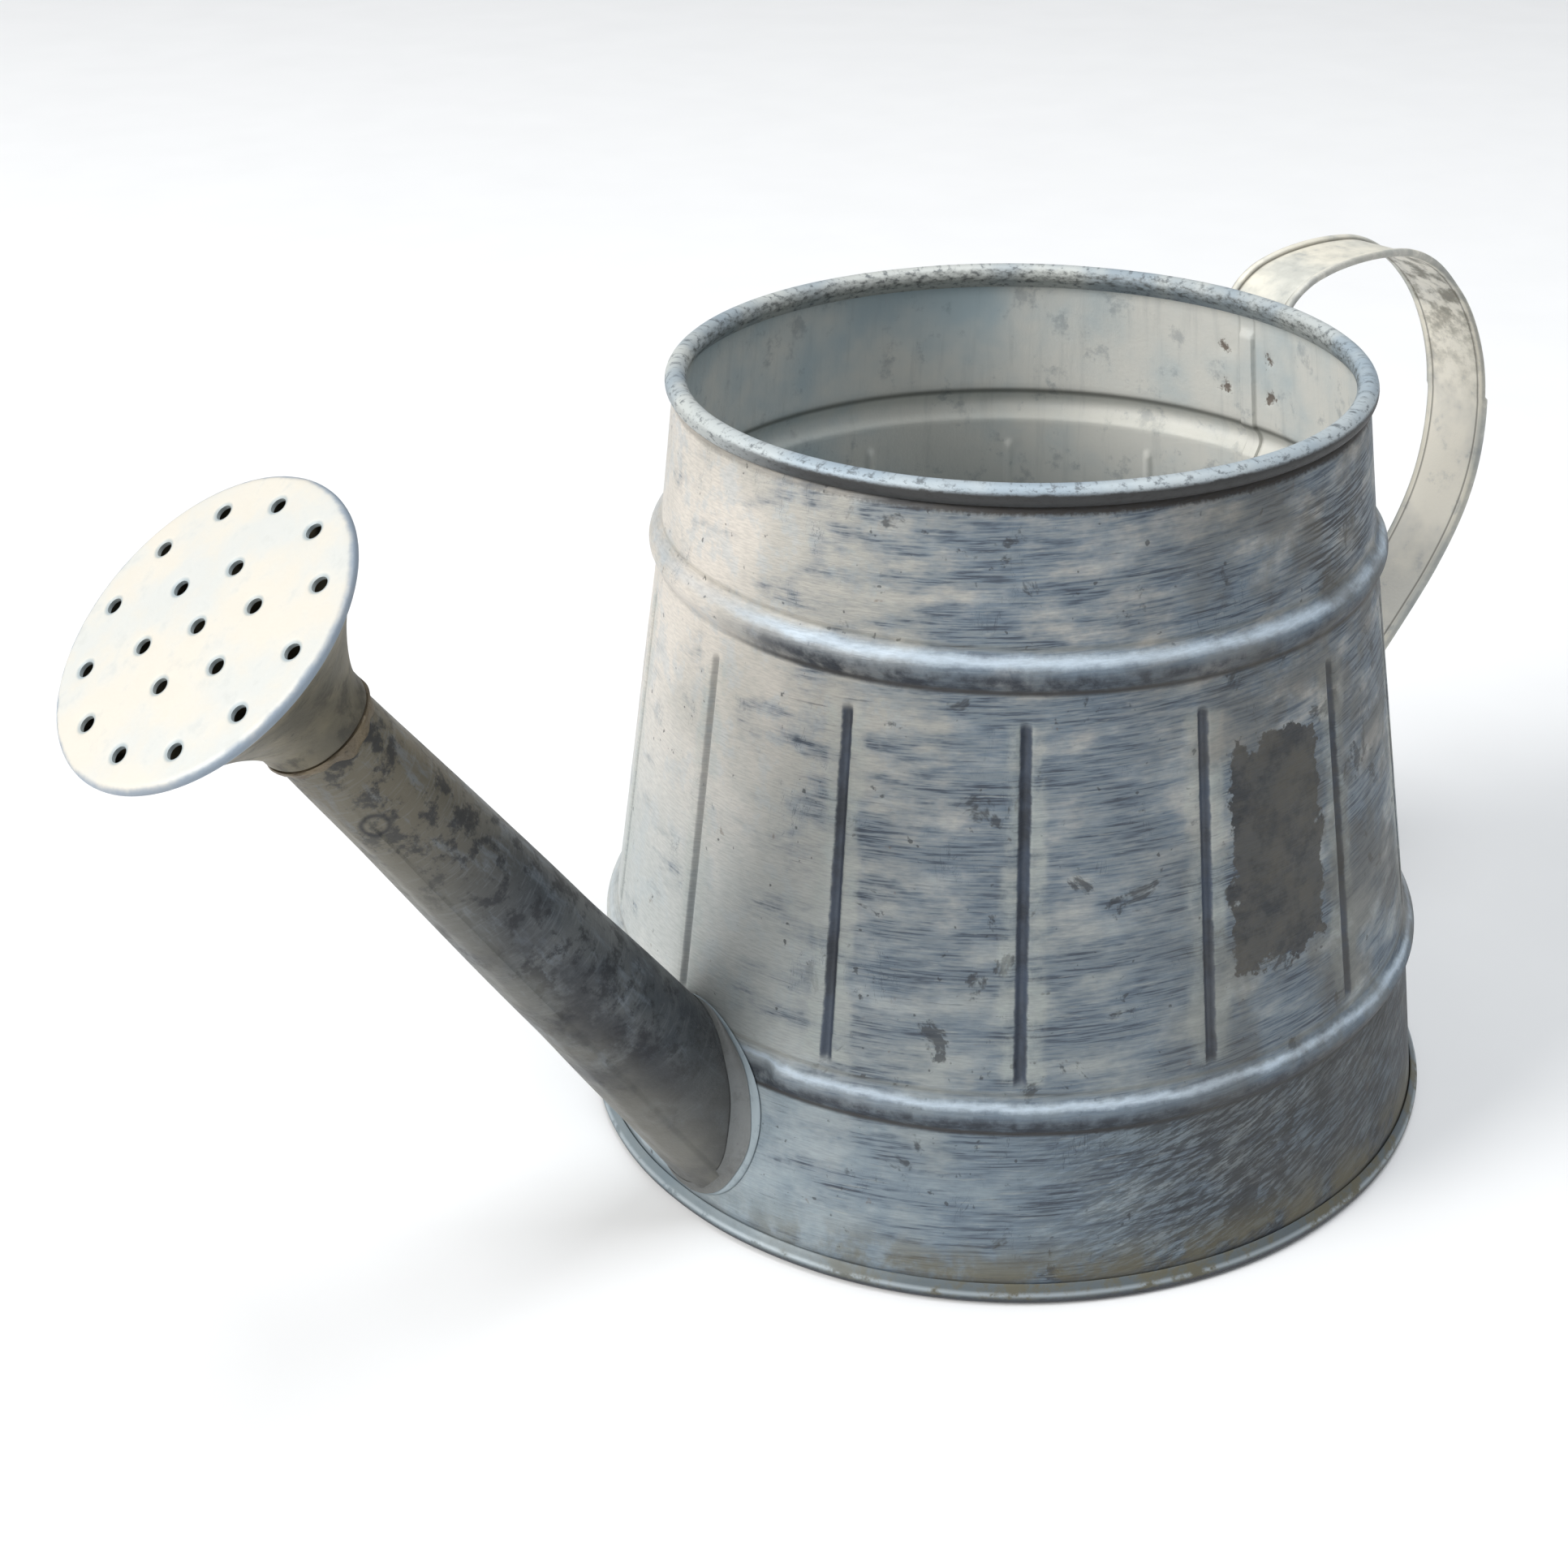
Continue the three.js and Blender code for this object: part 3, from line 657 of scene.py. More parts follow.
def smooth_line(line, count):
    """Evenly spaced points on a centripetal Catmull-Rom curve through the given ones."""
    ends = np.vstack([2 * line[0] - line[1], line, 2 * line[-1] - line[-2]])
    dense = []
    for i in range(1, len(ends) - 2):
        p = ends[i - 1:i + 3]
        knots = np.concatenate([[0], np.cumsum(np.linalg.norm(np.diff(p, axis=0), axis=1) ** 0.5)])
        for u in np.linspace(knots[1], knots[2], 24, endpoint=False):
            a = [p[k] + (p[k + 1] - p[k]) * (u - knots[k]) / (knots[k + 1] - knots[k]) for k in range(3)]
            b = [a[k] + (a[k + 1] - a[k]) * (u - knots[k]) / (knots[k + 2] - knots[k]) for k in range(2)]
            dense.append(b[0] + (b[1] - b[0]) * (u - knots[1]) / (knots[2] - knots[1]))
    dense = np.array(dense + [line[-1]])
    length = np.concatenate([[0], np.cumsum(np.linalg.norm(np.diff(dense, axis=0), axis=1))])
    at = np.linspace(0, length[-1], count)
    return np.stack([np.interp(at, length, dense[:, k]) for k in range(2)], 1)


def strap_outline(rolled):
    """Half-round hems on both edges of a flat strap; rolled is the share of their height."""
    low = STRAP / 2
    hem = 1.1 * rolled
    round_r = 1.05
    mid = STRAP_HALF - round_r
    half = [(y, -low) for y in (0, 3, 6, mid - 0.6)]
    for t in np.radians(np.linspace(-80, 215, 15)):
        squash = (hem + STRAP) / 2
        half.append((mid + round_r * math.cos(t), hem / 2 + squash * math.sin(t)))
    half += [(mid - round_r - 0.12, low + 0.02), (6, low), (3, low), (0, low)]
    return half


def make_handle(materials):
    stations = 240
    line = smooth_line(STRAP_LINE, stations)
    rise = np.gradient(line, axis=0)
    rise /= np.linalg.norm(rise, axis=1)[:, None]
    rings = []
    for i, ((x, z), (tx, tz)) in enumerate(zip(line, rise)):
        upper = i < stations / 2
        lies = 1 - float(smooth(172, 184, z) if upper else smooth(38, 54, z))
        half = strap_outline(max(0.04, 1 - lies) if upper else 1)
        outline = half + [(-y, n) for y, n in half[-2:0:-1]]
        ring = []
        for y, n in outline:
            n = n + 0.05 * math.sin(0.21 * i + 0.3 * y)
            px, pz = x - tz * n, z + tx * n
            px -= lies * (px - math.sqrt(px * px - y * y))
            ring.append((px, y, pz))
        rings.append(ring)
    points = np.array(rings).reshape(-1, 3)
    count = len(rings[0])
    last = (stations - 1) * count
    faces = ring_faces(stations, count) + [tuple(range(count))[::-1], tuple(range(last, last + count))]
    under = [n < 0 and abs(y) < STRAP_HALF - 1.4 for y, n in outline]
    slots = [int(under[j] and under[(j + 1) % count]) for _ in range(stations - 1) for j in range(count)]
    return build("handle_band", points, faces, slots + [0, 0], materials)


# ------------------------------------------------------------------ finishes
def tint(red, green, blue):
    """Colour from everyday 0 to 255 values."""
    out = []
    for v in (red, green, blue):
        v = v / 255
        out.append(v / 12.92 if v <= 0.04045 else ((v + 0.055) / 1.055) ** 2.4)
    return tuple(out) + (1.0,)


ARC_R = 92                   # turns angles round the can into millimetres


class Paint:
    """Short forms for the nodes of one finish, with places in millimetres."""

    def __init__(self, name):
        self.material = bpy.data.materials.new(name)
        self.material.use_nodes = True
        self.tree = self.material.node_tree
        self.shader = self.tree.nodes["Principled BSDF"]
        coords = self.tree.nodes.new("ShaderNodeTexCoord").outputs["Object"]
        self.place = self.vector("SCALE", coords, 1000)
        parts = self.tree.nodes.new("ShaderNodeSeparateXYZ")
        self.tree.links.new(self.place, parts.inputs[0])
        self.x, self.y, self.z = parts.outputs
        self.turn = self.math("ARCTAN2", self.times(self.y, -1), self.times(self.x, -1))
        self.arc = self.times(self.turn, ARC_R)

    def feed(self, socket, value):
        if isinstance(value, bpy.types.NodeSocket):
            self.tree.links.new(value, socket)
        else:
            socket.default_value = value

    def math(self, operation, *values):
        node = self.tree.nodes.new("ShaderNodeMath")
        node.operation = operation
        for socket, value in zip(node.inputs, values):
            self.feed(socket, value)
        return node.outputs[0]

    def add(self, a, b):
        return self.math("ADD", a, b)

    def less(self, a, b):
        return self.math("SUBTRACT", a, b)

    def times(self, a, b):
        return self.math("MULTIPLY", a, b)

    def swing(self, value, size):
        """Turns a value of 0 to 1 into a swing about nought, this far from end to end."""
        return self.times(self.less(value, 0.5), size)

    def hypot(self, a, b):
        return self.math("SQRT", self.add(self.math("POWER", a, 2), self.math("POWER", b, 2)))

    def vector(self, operation, a, b):
        node = self.tree.nodes.new("ShaderNodeVectorMath")
        node.operation = operation
        self.feed(node.inputs[0], a)
        self.feed(node.inputs["Scale"] if operation == "SCALE" else node.inputs[1], b)
        return node.outputs[1] if operation == "DOT_PRODUCT" else node.outputs[0]

    def joined(self, x, y, z):
        node = self.tree.nodes.new("ShaderNodeCombineXYZ")
        for socket, value in zip(node.inputs, (x, y, z)):
            self.feed(socket, value)
        return node.outputs[0]

    def noise(self, where, scale, detail=4.0, rough=0.55, twist=0.0):
        node = self.tree.nodes.new("ShaderNodeTexNoise")
        self.feed(node.inputs["Vector"], where)
        node.inputs["Scale"].default_value = scale
        node.inputs["Detail"].default_value = detail
        node.inputs["Roughness"].default_value = rough
        node.inputs["Distortion"].default_value = twist
        return node.outputs["Fac"]

    def haze(self, *settings):
        """Noise at the place itself, not stretched any way."""
        return self.noise(self.place, *settings)

    def step(self, value, low, high, to=1.0):
        """Soft step from 0 at low to `to` at high; falls when low is above high."""
        node = self.tree.nodes.new("ShaderNodeMapRange")
        node.interpolation_type = "SMOOTHSTEP"
        names = ("Value", "From Min", "From Max", "To Min", "To Max")
        for name, setting in zip(names, (value, low, high, 0.0, to)):
            self.feed(node.inputs[name], setting)
        return node.outputs[0]

    def between(self, value, low, high, soft):
        rise = self.step(value, low - soft, low + soft)
        return self.times(rise, self.step(value, high + soft, high - soft))

    def bump_at(self, value, centre, half):
        """Soft hump, 1 at the centre and 0 a half width away."""
        away = self.math("ABSOLUTE", self.less(value, centre))
        return self.step(away, half, 0.0)

    def both(self, *values):
        out = values[0]
        for value in values[1:]:
            out = self.times(out, value)
        return out

    def most(self, *values):
        out = values[0]
        for value in values[1:]:
            out = self.math("MAXIMUM", out, value)
        return out

    def mix(self, share, a, b):
        node = self.tree.nodes.new("ShaderNodeMix")
        node.data_type = "RGBA"
        self.feed(node.inputs["Factor"], share)
        self.feed(node.inputs[6], a)
        self.feed(node.inputs[7], b)
        return node.outputs[2]

    def coat(self, tone, *share):
        """Lays a tone over the colour so far, by the product of the shares."""
        self.colour = self.mix(self.both(*share), self.colour, tone)

    def brushed(self, slant, length, thickness, shift, detail=3.0, rough=0.6):
        """Lines brushed round the can, climbing by the slant."""
        height = self.less(self.z, self.times(self.arc, slant))
        across = self.math("DIVIDE", self.arc, length)
        where = self.joined(across, shift, self.math("DIVIDE", height, thickness))
        return self.noise(where, 1.0, detail, rough)

    def facing(self, degrees, low, high):
        """1 on the side of the can that looks this way round from the spout, 0 on the other."""
        away = self.math("COSINE", self.less(self.turn, math.radians(degrees)))
        return self.step(away, low, high)

    def finish(self, colour, rough, metal=0.0, height=None, lift=0.1, depth=0.0006, gloss=0.5):
        self.feed(self.shader.inputs["Base Color"], colour)
        self.feed(self.shader.inputs["Roughness"], rough)
        self.feed(self.shader.inputs["Metallic"], metal)
        self.shader.inputs["Specular IOR Level"].default_value = gloss
        if height is not None:
            bump = self.tree.nodes.new("ShaderNodeBump")
            bump.inputs["Strength"].default_value = lift
            bump.inputs["Distance"].default_value = depth
            self.feed(bump.inputs["Height"], height)
            self.tree.links.new(bump.outputs[0], self.shader.inputs["Normal"])
        return self.material


CREAM = tint(209, 202, 192)
BEIGE = tint(184, 180, 171)
PALE_BLUE = tint(156, 169, 177)
STEEL_BLUE = tint(94, 109, 123)
SLATE = tint(50, 57, 68)
INK = tint(36, 38, 42)
OLIVE = tint(96, 90, 68)
RUST = tint(92, 66, 44)


# Dark marks seen on the photographed side, in millimetres round the can and up it.
PATCH_ARC = (124.0, 151.0)
PATCH_Z = (72.0, 124.0)
SCUFF_ARC = (150.0, 188.0)
SCUFF_Z = (151.0, 171.0)
GROOVE_R = 93                # radius used to measure across a groove


def outer_wall():
    """Limewashed zinc, dry-brushed with blue-grey on one side, dark in its grooves, with a painted
    highlight on the top of each bead and painted shade under it.
    """
    p = Paint("zinc_wall")
    cloud = p.haze(0.020, 3, 0.55)
    blotch = p.haze(0.060, 5, 0.62)
    grain = p.haze(1.1, 3, 0.6)
    weave = p.brushed(0.03, 3.2, 0.42, 60.0, 3, 0.65)
    lower = p.step(p.z, 46, 42)
    streaky = p.most(p.facing(80, 0.18, 0.85), p.both(p.facing(-125, 0.1, 0.9), 0.7))

    lines = p.brushed(0.05, 15, 0.62, 3.1, 4, 0.62)
    broad = p.brushed(0.07, 26, 7.0, 21.0, 4, 0.62)

    half_pitch = math.radians(PITCH / 2)
    wrapped = p.math("WRAP", p.add(p.turn, math.radians(180 - GROOVE_PHASE)), half_pitch, -half_pitch)
    across = p.times(wrapped, GROOVE_R)
    groove_gap = p.math("ABSOLUTE", across)
    in_panels = p.between(p.z, 53.5, 133.5, 1.2)
    fray = p.swing(p.haze(0.35, 4, 0.65), 1.0)
    ragged = p.add(groove_gap, fray)
    wander = p.swing(blotch, 8)
    beside = p.both(p.step(p.add(groove_gap, wander), 6.0, 3.2), in_panels)

    p.colour = p.mix(p.step(cloud, 0.40, 0.62), CREAM, BEIGE)
    flecks = p.haze(0.11, 5, 0.72)
    p.coat(tint(176, 184, 188), p.step(flecks, 0.50, 0.62, 0.45))
    cool = p.both(p.step(p.add(p.z, p.times(flecks, 60)), 165, 95), 0.6)
    p.coat(tint(166, 176, 178), cool)
    blue_zone = p.add(p.both(lower, 0.85), p.both(streaky, 0.42))
    blue_zone = p.add(blue_zone, p.swing(blotch, 2.0))
    p.coat(PALE_BLUE, p.step(blue_zone, 0.15, 0.80, 0.70))
    greyed = p.both(streaky, p.add(0.48, p.step(broad, 0.35, 0.6, 0.40)))
    p.coat(tint(114, 121, 120), greyed)
    p.coat(tint(126, 141, 149), lower, p.step(blotch, 0.30, 0.6, 0.75))

    cover = p.add(p.both(streaky, 0.58), p.swing(blotch, 1.1))
    cover = p.less(cover, p.both(beside, 0.22))
    cover = p.add(cover, p.swing(broad, 2.2))
    cover = p.step(cover, 0.05, 0.75)
    fine = p.step(lines, 0.60, 0.44)
    wash = p.add(0.50, p.both(fine, 0.45))
    p.coat(STEEL_BLUE, cover, wash)
    dark = p.both(p.step(lines, 0.53, 0.40), p.step(cover, 0.3, 0.9), p.step(broad, 0.44, 0.62))
    p.coat(SLATE, dark, 0.9)
    stray = p.both(p.step(lines, 0.40, 0.30), p.step(streaky, 0.02, 0.4), p.step(blotch, 0.38, 0.52))
    p.coat(SLATE, stray, 0.6)

    smear = p.both(p.step(p.haze(0.085, 5, 0.68, 0.4), 0.60, 0.66), p.step(streaky, 0.25, 0.7))
    p.coat(INK, smear, 0.75)
    lift = p.both(p.step(p.brushed(0.05, 9, 0.8, 80.0, 4, 0.6), 0.58, 0.68), p.step(streaky, 0.1, 0.5))
    p.coat(tint(148, 153, 150), lift, 0.45)

    scratch = p.noise(p.joined(p.times(p.arc, 0.22), 7.7, p.times(p.z, 0.06)), 1.0, 5, 0.7, 0.8)
    hairline = p.both(p.bump_at(scratch, 0.5, 0.010), p.step(blotch, 0.54, 0.66))
    p.coat(SLATE, hairline, 0.6)
    speck = p.step(p.haze(0.42, 2, 0.5), 0.70, 0.76)
    p.coat(INK, speck, 0.7)
    spot = p.both(p.step(p.haze(0.16, 3, 0.7), 0.68, 0.74), p.step(cloud, 0.4, 0.55))
    p.coat(RUST, spot, 0.5)

    patch_edge = p.swing(p.haze(0.16, 5, 0.62), 16)
    patch_arc = p.add(p.arc, patch_edge)
    patch_z = p.add(p.z, patch_edge)
    patch = p.both(p.between(patch_arc, *PATCH_ARC, 0.5), p.between(patch_z, *PATCH_Z, 0.5))
    patch_tone = p.mix(p.step(flecks, 0.42, 0.60), tint(66, 65, 61), tint(36, 37, 38))
    p.coat(patch_tone, patch, 0.95)
    scuff_cover = p.both(p.between(p.arc, *SCUFF_ARC, 7.0), p.between(p.z, *SCUFF_Z, 4.0))
    scuff = p.both(scuff_cover, p.step(lines, 0.56, 0.42))
    p.coat(INK, scuff, 0.92)

    shown = p.add(0.20, p.both(p.facing(78, 0.0, 0.5), 0.78))
    groove = p.both(p.step(ragged, 1.65, 1.05), in_panels, shown)
    p.coat(tint(166, 172, 166), beside, p.less(1, groove), p.step(flecks, 0.35, 0.6, 0.42))
    groove_tone = p.mix(p.step(blotch, 0.4, 0.6), tint(66, 76, 92), tint(44, 48, 56))
    p.coat(groove_tone, groove, 0.95)

    bare = p.facing(75, 0.15, 0.5)
    for centre, shine in zip(BEADS, (1.2, 1.7)):
        rub_and_shade = p.swing(flecks, 2.4)
        rise = p.add(p.less(p.z, centre), rub_and_shade)
        dull = p.both(p.bump_at(p.less(p.z, centre), 0.3, 6.0), 0.6)
        p.coat(tint(112, 126, 138), dull, bare)
        # painted highlight along the upper flank of each bead, partly real rubbed bright metal
        top = p.both(p.bump_at(rise, 2.4, shine), p.add(0.25, p.both(bare, 0.55)))
        p.coat(tint(190, 204, 216), top)
        # painted shade on the underside of each bead and just below it, broken into patches, partly real
        # dark dirt
        shade_patches = p.add(0.42, p.step(p.haze(0.20, 5, 0.65), 0.66, 0.38, 0.55))
        under = p.both(p.step(rise, 1.6, -1.4), p.step(rise, -5.6, -4.2), shade_patches)
        p.coat(tint(28, 34, 44), under, p.add(0.08, p.both(bare, 0.92)))
        # painted shadow: a dark line along the foot of each bead
        line = p.bump_at(p.less(p.z, centre), -4.5, 1.1)
        p.coat(tint(44, 42, 40), line, p.add(0.2, p.both(bare, 0.75)))
        crease = p.bump_at(p.less(p.z, centre), 4.8, 1.0)
        p.coat(OLIVE, crease, 0.3)

    tarnish = p.both(p.facing(118, 0.45, 0.92), p.step(p.haze(0.05, 5, 0.65), 0.40, 0.60))
    p.coat(tint(84, 80, 70), tarnish, 0.60)
    swept = p.brushed(0.40, 6, 1.1, 44.0, 5, 0.72)
    low_dirt = p.both(lower, p.facing(104, 0.45, 0.92), p.step(swept, 0.42, 0.56))
    p.coat(tint(34, 36, 38), low_dirt, 0.9)
    corner = p.both(lower, p.facing(118, 0.55, 0.95), 0.45)
    p.coat(tint(58, 58, 56), corner)

    soil_spots = p.step(p.haze(0.07, 5, 0.65), 0.38, 0.55)
    soil = p.both(p.step(p.z, 18, 5), soil_spots, p.facing(85, -0.1, 0.7))
    p.coat(OLIVE, soil, 0.8)
    foot = p.step(p.add(p.z, grain), 6.6, 5.6)
    p.coat(SLATE, foot, 0.25)
    # painted shade on the neck under the rolled rim, partly real brown grime
    collar = p.step(p.add(p.z, p.times(grain, 1.5)), 177.2, 178.4)
    p.coat(tint(52, 46, 40), collar, p.add(0.35, p.both(streaky, 0.6)))

    shade = p.step(weave, 0.30, 0.66)
    p.coat(tint(70, 76, 86), p.less(1, shade), 0.22)
    sheen = p.add(0.50, p.swing(blotch, 0.35))
    rough = p.add(sheen, p.both(cover, 0.12))
    height = p.add(p.times(lines, 0.5), p.times(weave, 0.5))
    return p.finish(p.colour, rough, p.times(p.less(1, cover), 0.2), height, 0.35, 0.0005)


def inner_wall():
    """Duller zinc inside: cloudy grey, faint upright runs, painted shade and a painted highlight at the
    beads, rust at the spot welds.
    """
    p = Paint("zinc_inside")
    cloud = p.haze(0.022, 4, 0.6)
    grain = p.haze(0.9, 3, 0.6)
    runs = p.noise(p.joined(p.times(p.arc, 0.25), 2.0, p.times(p.z, 0.03)), 1.0, 4, 0.6)
    mottle = p.haze(0.12, 5, 0.7)
    p.colour = p.mix(p.step(cloud, 0.36, 0.68), tint(220, 219, 212), tint(178, 194, 200))
    p.coat(tint(120, 132, 138), p.step(runs, 0.50, 0.74, 0.18))
    p.coat(STEEL_BLUE, p.step(mottle, 0.54, 0.68), 0.35)
    p.coat(tint(134, 150, 156), p.step(p.z, 140, 110), 0.35)
    for centre in BEADS:
        # painted shade in the upper hollow of each bead and a painted highlight on its lower flank
        p.coat(tint(66, 64, 54), p.bump_at(p.z, centre + 3.8, 1.6), 0.65)
        p.coat(tint(196, 196, 186), p.bump_at(p.z, centre - 3.2, 2.5), 0.4)
    seam_gap = p.math("ABSOLUTE", p.y)
    seam = p.both(p.bump_at(seam_gap, SEAM_WIDE, 0.6), p.step(p.x, 0, 10))
    p.coat(tint(88, 86, 76), seam, 0.25)
    scab = p.haze(0.45, 4, 0.7)
    marks = None
    for across, height in WELDS:
        gap = p.hypot(p.less(p.y, across), p.less(p.z, height))
        gap = p.add(gap, p.swing(scab, 7.0))
        dot = p.both(p.step(gap, 1.9, 0.9), p.step(p.x, 0, 10))
        marks = dot if marks is None else p.most(marks, dot)
    p.coat(tint(84, 62, 46), marks, 0.8)
    dirt = p.both(p.step(p.z, 30, 6), p.step(mottle, 0.42, 0.6))
    p.coat(OLIVE, dirt, 0.5)
    rough = p.add(0.5, p.swing(mottle, 0.4))
    height = p.add(p.times(runs, 0.5), p.times(grain, 0.5))
    return p.finish(p.colour, p.add(rough, 0.1), 0.05, height, 0.3, 0.0005)


def rolled_rim():
    """Rubbed edge: pale zinc, nicked dark, with painted shade in black along its outer lower line."""
    p = Paint("zinc_rim")
    nick = p.noise(p.joined(p.times(p.arc, 0.35), 4.0, p.times(p.z, 0.9)), 1.0, 5, 0.7)
    cloud = p.haze(0.03, 3, 0.6)
    radius = p.hypot(p.x, p.y)
    bare = p.facing(75, 0.0, 0.5)
    streaky = p.facing(75, -0.35, 0.6)
    p.colour = p.mix(p.step(cloud, 0.4, 0.62), tint(190, 193, 189), tint(148, 160, 168))
    p.coat(tint(160, 176, 188), streaky, 0.45)
    p.coat(tint(84, 90, 94), p.step(nick, 0.50, 0.64, 0.80))
    # painted shade along the underside of the roll, made ragged by the nicks
    under = p.both(p.step(p.add(p.z, p.times(nick, 1.6)), 183.2, 182.2), p.step(radius, 76.0, 77.5))
    p.coat(tint(40, 39, 38), under, p.add(0.25, p.both(bare, 0.72)))
    inner = p.both(p.bump_at(radius, 75.2, 0.8), p.step(nick, 0.35, 0.6))
    p.coat(tint(78, 80, 76), inner, 0.55)
    return p.finish(p.colour, p.add(0.40, p.both(nick, 0.3)), 0.1, nick, 0.25, 0.0004)


def plain_zinc(name, light, mid, dark, streak, seed, rough=0.55, metal=0.2, lift=0.3, depth=0.0005):
    """Dull zinc for the smaller pieces: cloudy wash, fine brushing, dark specks."""
    light, mid, dark = tint(*light), tint(*mid), tint(*dark)
    p = Paint(name)
    cloud = p.haze(0.035, 4, 0.6)
    mottle = p.noise(p.vector("ADD", p.place, (seed * 31, 0, 0)), 0.14, 5, 0.68)
    grain = p.haze(1.0, 3, 0.6)
    p.colour = p.mix(p.step(cloud, 0.40, 0.62), light, mid)
    p.coat(dark, p.step(mottle, 0.52, 0.68, streak))
    speck = p.step(p.haze(0.5, 2, 0.5), 0.70, 0.76)
    p.coat(dark, speck, 0.6)
    wear = p.add(rough, p.swing(mottle, 0.35))
    height = p.add(p.times(mottle, 0.5), p.times(grain, 0.5))
    return p.finish(p.colour, wear, metal, height, lift, depth)


def along_spout(p):
    """Distance up the spout's axis and angle round it, 0 on its upper side."""
    origin, up, across, along = SPOUT
    away = p.vector("SUBTRACT", p.place, tuple(origin))
    reach, rise, side = (p.vector("DOT_PRODUCT", away, tuple(way)) for way in (along, up, across))
    return reach, p.math("ARCTAN2", side, rise), rise, side


def spout_finish():
    """Tarnished spout: olive near the rose, charcoal and blue lower down, dull grey at its root."""
    p = Paint("zinc_spout")
    reach, round_, rise, side = along_spout(p)
    cloud = p.haze(0.045, 4, 0.6)
    mottle = p.haze(0.16, 5, 0.7)
    grain = p.haze(0.9, 3, 0.6)
    stretched = p.joined(p.times(reach, 0.07), p.times(side, 0.22), p.times(rise, 0.22))
    scrape = p.noise(stretched, 1.0, 5, 0.68)
    crosswise = p.joined(p.times(reach, 1.6), p.times(side, 0.18), p.times(rise, 0.18))
    hatch = p.noise(crosswise, 1.0, 3, 0.6)
    p.colour = p.mix(p.step(cloud, 0.38, 0.62), tint(88, 91, 92), tint(62, 67, 72))
    p.coat(tint(104, 97, 80), p.step(reach, 80, 135, 0.8))
    p.coat(tint(120, 130, 140), p.step(scrape, 0.52, 0.68, 0.40))
    p.coat(tint(136, 142, 146), p.step(hatch, 0.52, 0.66, 0.15))
    p.coat(tint(38, 40, 44), p.step(mottle, 0.50, 0.62, 0.8))
    middle = p.both(p.step(p.math("ABSOLUTE", p.add(round_, 0.9)), 1.1, 0.2), p.step(reach, 105, 70),
                    p.step(p.haze(0.07, 5, 0.68), 0.42, 0.58))
    p.coat(tint(30, 32, 38), middle, 0.8)
    root = p.both(p.step(reach, 36, 6), p.step(p.haze(0.08, 4, 0.6), 0.25, 0.5))
    p.coat(tint(88, 88, 86), root, 0.8)
    topside = p.both(p.step(rise, 2, 13), p.step(cloud, 0.35, 0.6))
    p.coat(tint(134, 132, 122), topside, 0.45)
    ring_gap = p.hypot(p.less(reach, 128), p.times(p.add(round_, 0.9), 11))
    ring = p.bump_at(ring_gap, 2.6, 1.0)
    p.coat(INK, ring, 0.8)
    crack = p.both(p.bump_at(p.haze(0.10, 5, 0.75, 1.2), 0.5, 0.02), p.step(reach, 60, 30),
                   p.step(rise, -4, -10))
    p.coat(INK, crack, 0.85)
    rough = p.add(0.48, p.swing(mottle, 0.4))
    height = p.add(p.times(mottle, 0.6), p.times(grain, 0.4))
    return p.finish(p.colour, rough, 0.35, height, 0.35, 0.0006)


def rose_paint():
    """Near-white face with painted shade on its turned edge, its holes ringed with a faint blue tint."""
    p = Paint("zinc_rose")
    cloud = p.haze(0.05, 4, 0.6)
    mottle = p.haze(0.2, 4, 0.6)
    grain = p.haze(1.2, 3, 0.6)
    p.colour = p.mix(p.step(cloud, 0.40, 0.62), tint(206, 201, 190), tint(197, 198, 194))
    p.coat(tint(180, 181, 176), p.step(mottle, 0.54, 0.70, 0.3))
    origin, up, across, _ = ROSE
    away = p.vector("SUBTRACT", p.place, tuple(origin))
    u, v = (p.vector("DOT_PRODUCT", away, tuple(way)) for way in (up, across))
    reach = p.hypot(u, v)
    # painted shade: blue-grey band on the turned edge of the face
    edge = p.step(p.add(reach, p.times(mottle, 1.5)), 32.8, 34.0)
    p.coat(tint(104, 124, 146), edge, 0.75)
    hole_ring_tint = None
    for x, y in hole_centres():
        gap = p.hypot(p.less(u, float(x)), p.less(v, float(y)))
        ring = p.bump_at(gap, HOLE_R + 0.1, 0.75)
        hole_ring_tint = ring if hole_ring_tint is None else p.most(hole_ring_tint, ring)
    p.coat(tint(112, 138, 150), hole_ring_tint, 0.55)
    rough = p.add(0.5, p.swing(mottle, 0.3))
    return p.finish(p.colour, rough, 0.05, grain, 0.15, 0.0004)


def strap_paint(name, light, mid, tarnish):
    """Cream strap with painted shade in the creases and along the rolled edges, partly real wear there;
    tarnish is how much of it is stained olive.
    """
    p = Paint(name)
    cloud = p.haze(0.04, 4, 0.6)
    mottle = p.haze(0.16, 5, 0.68)
    grain = p.haze(1.1, 3, 0.6)
    across = p.math("ABSOLUTE", p.y)
    p.colour = p.mix(p.step(cloud, 0.40, 0.62), light, mid)
    p.coat(tint(150, 156, 160), p.step(mottle, 0.56, 0.70, 0.35))
    # painted shade in the crease along the inner side of each hem
    seam = p.bump_at(across, STRAP_HALF - 2.3, 0.5)
    p.coat(tint(96, 92, 82), seam, 0.75)
    # grey band on the rolled edges: partly real wear, partly painted shade
    rub_and_shade = p.both(p.step(across, STRAP_HALF - 1.2, STRAP_HALF - 0.3), p.step(mottle, 0.15, 0.55))
    p.coat(tint(124, 128, 130), rub_and_shade, 0.55)
    stained = p.both(p.step(mottle, 0.40, 0.60), p.step(p.z, 128, 176), tarnish)
    p.coat(OLIVE, stained)
    rough = p.add(0.5, p.swing(mottle, 0.3))
    return p.finish(p.colour, rough, 0.12, grain, 0.2, 0.0004)


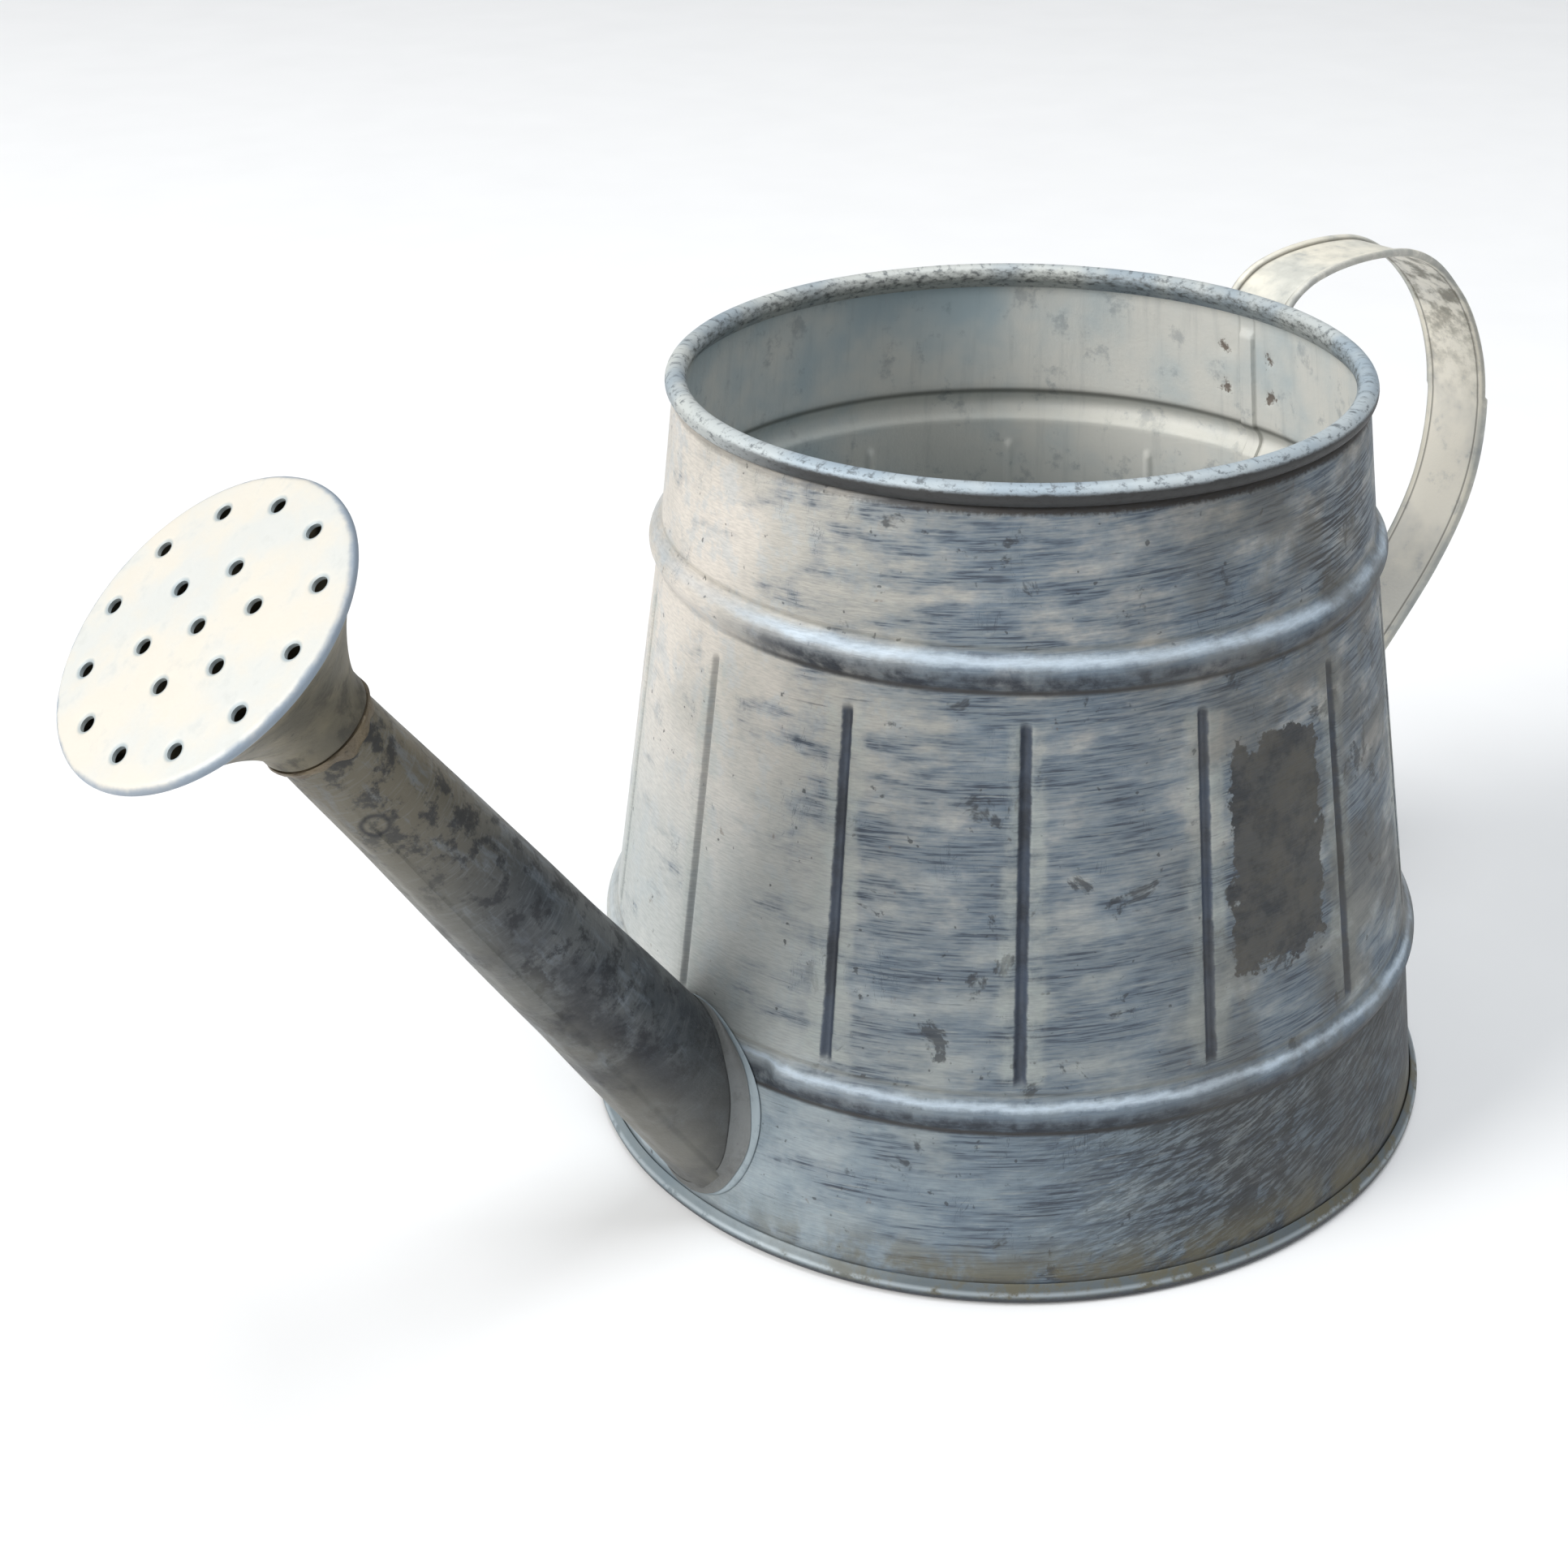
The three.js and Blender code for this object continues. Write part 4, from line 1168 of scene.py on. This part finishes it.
def base_paint():
    """Foot seam and underside: the wall's wash over the fold, olive dirt, dark only along its tread."""
    p = Paint("zinc_base")
    cloud = p.haze(0.030, 4, 0.6)
    mottle = p.haze(0.15, 5, 0.68)
    grain = p.haze(1.0, 3, 0.6)
    streaky = p.facing(85, -0.1, 0.85)
    p.colour = p.mix(p.step(cloud, 0.40, 0.62), tint(116, 126, 130), tint(104, 118, 126))
    p.coat(tint(78, 84, 86), streaky, 0.7)
    soil = p.both(p.facing(90, 0.0, 0.8), p.step(mottle, 0.42, 0.60))
    p.coat(OLIVE, soil, 0.75)
    glint = p.both(p.bump_at(p.z, 2.6, 0.7), p.step(mottle, 0.62, 0.48))
    p.coat(tint(182, 192, 198), glint, 0.5)
    radius = p.hypot(p.x, p.y)
    tread = p.both(p.step(p.add(p.z, p.times(grain, 0.8)), 2.5, 1.7), p.step(radius, 103.2, 104.2))
    p.coat(tint(44, 48, 56), tread, 0.85)
    centre = p.both(p.step(p.z, 0.2, 0.0), p.step(mottle, 0.60, 0.40))
    p.coat(tint(116, 118, 116), centre, 0.6)
    rough = p.add(0.5, p.swing(mottle, 0.35))
    return p.finish(p.colour, rough, 0.2, mottle, 0.3, 0.0005)


# ------------------------------------------------------------------ assembly
def make_can():
    wall = make_wall([outer_wall(), rolled_rim(), inner_wall()])
    carve(wall, spout_cutter(-SHEET, SPOUT_ROOT, ROOT_CUT))
    finish_piece(sharpen(wall, 42), "zinc_body", "body_wall")
    base = make_base(base_paint())
    finish_piece(sharpen(base, 45), "zinc_base", "base_plate")
    steel = plain_zinc("wire_steel", (120, 120, 118), (90, 90, 90), (60, 50, 42), 0.5, 3.0)
    finish_piece(make_wire(steel), "wire", "rim_wire")
    finish_piece(sharpen(make_spout(spout_finish()), 40), "zinc_dark", "spout_tube")
    plate = plain_zinc(
        "zinc_plate", (150, 162, 168), (136, 148, 154), (104, 114, 120), 0.4, 5.0, 0.62, 0.05)
    finish_piece(sharpen(make_flange(plate), 40), "zinc_body", "spout_flange")
    root = plain_zinc(
        "solder_root", (114, 117, 117), (100, 101, 99), (76, 77, 77), 0.4, 6.0, 0.6, 0.1, 0.5, 0.0008)
    finish_piece(sharpen(make_root_solder(root), 60), "solder", "spout_solder")
    cone = plain_zinc("zinc_funnel", (118, 111, 92), (86, 82, 70), (50, 48, 43), 0.6, 7.0)
    finish_piece(sharpen(make_cone(cone), 50), "zinc_olive", "rose_cone")
    neck = plain_zinc(
        "solder_neck", (126, 112, 88), (98, 88, 72), (52, 44, 36), 0.7, 8.0, 0.5, 0.3, 0.6, 0.001)
    finish_piece(sharpen(make_neck_solder(neck), 60), "solder_brown", "neck_solder")
    finish_piece(make_face(rose_paint()), "zinc_pale", "rose_face")
    # the inside face gets a paler copy of the strap finish, which is painted light for its shaded side,
    # along with more real olive stain
    strap = [strap_paint("zinc_strap", tint(230, 225, 210), tint(204, 204, 196), 0.12),
             strap_paint("zinc_strap_inside_lightened", tint(240, 235, 222), tint(220, 217, 208), 0.75)]
    finish_piece(sharpen(make_handle(strap), 60), "zinc_pale", "handle_strap")


make_can()


# ------------------------------------------------------------------ studio
FLOOR_REACH = 9000.0
FLOOR_Z = -0.2               # just under the foot, so the two never touch


def make_floor():
    p = Paint("studio_floor")
    grain = p.noise(p.place, 0.02, 2, 0.5)
    material = p.finish(p.mix(grain, (0.84, 0.84, 0.84, 1), (0.88, 0.88, 0.88, 1)), 0.85, 0.0, gloss=0.1)
    corners = [(x * FLOOR_REACH, y * FLOOR_REACH, FLOOR_Z) for x, y in ((-1, -1), (1, -1), (1, 1), (-1, 1))]
    floor = build("studio_floor", corners, [(0, 1, 2, 3)], None, [material], False)


def make_light(name, place, aim, size, power, colour):
    data = bpy.data.lights.new(name, "AREA")
    data.shape = "DISK"
    data.size = size
    data.energy = power
    data.color = colour
    light = bpy.data.objects.new(name, data)
    light.location = place
    light.rotation_euler = (Vector(aim) - Vector(place)).to_track_quat("-Z", "Y").to_euler()
    bpy.context.scene.collection.objects.link(light)


def make_world():
    world = bpy.data.worlds.new("studio")
    world.use_nodes = True
    sky = world.node_tree.nodes["Background"]
    sky.inputs["Color"].default_value = (0.95, 0.97, 1.0, 1)
    sky.inputs["Strength"].default_value = 0.30
    bpy.context.scene.world = world


make_floor()
make_light("key", (-3.20, 0.90, 2.30), (0, 0, 0.1), 2.2, 150, (1.0, 0.99, 0.97))
make_light("overhead", (0.35, -0.55, 3.6), (0, 0, 0.1), 2.4, 78, (0.94, 0.97, 1.0))
make_light("fill", (-1.4, -3.2, 2.2), (0, 0, 0.1), 2.6, 14, (0.90, 0.95, 1.0))
make_world()
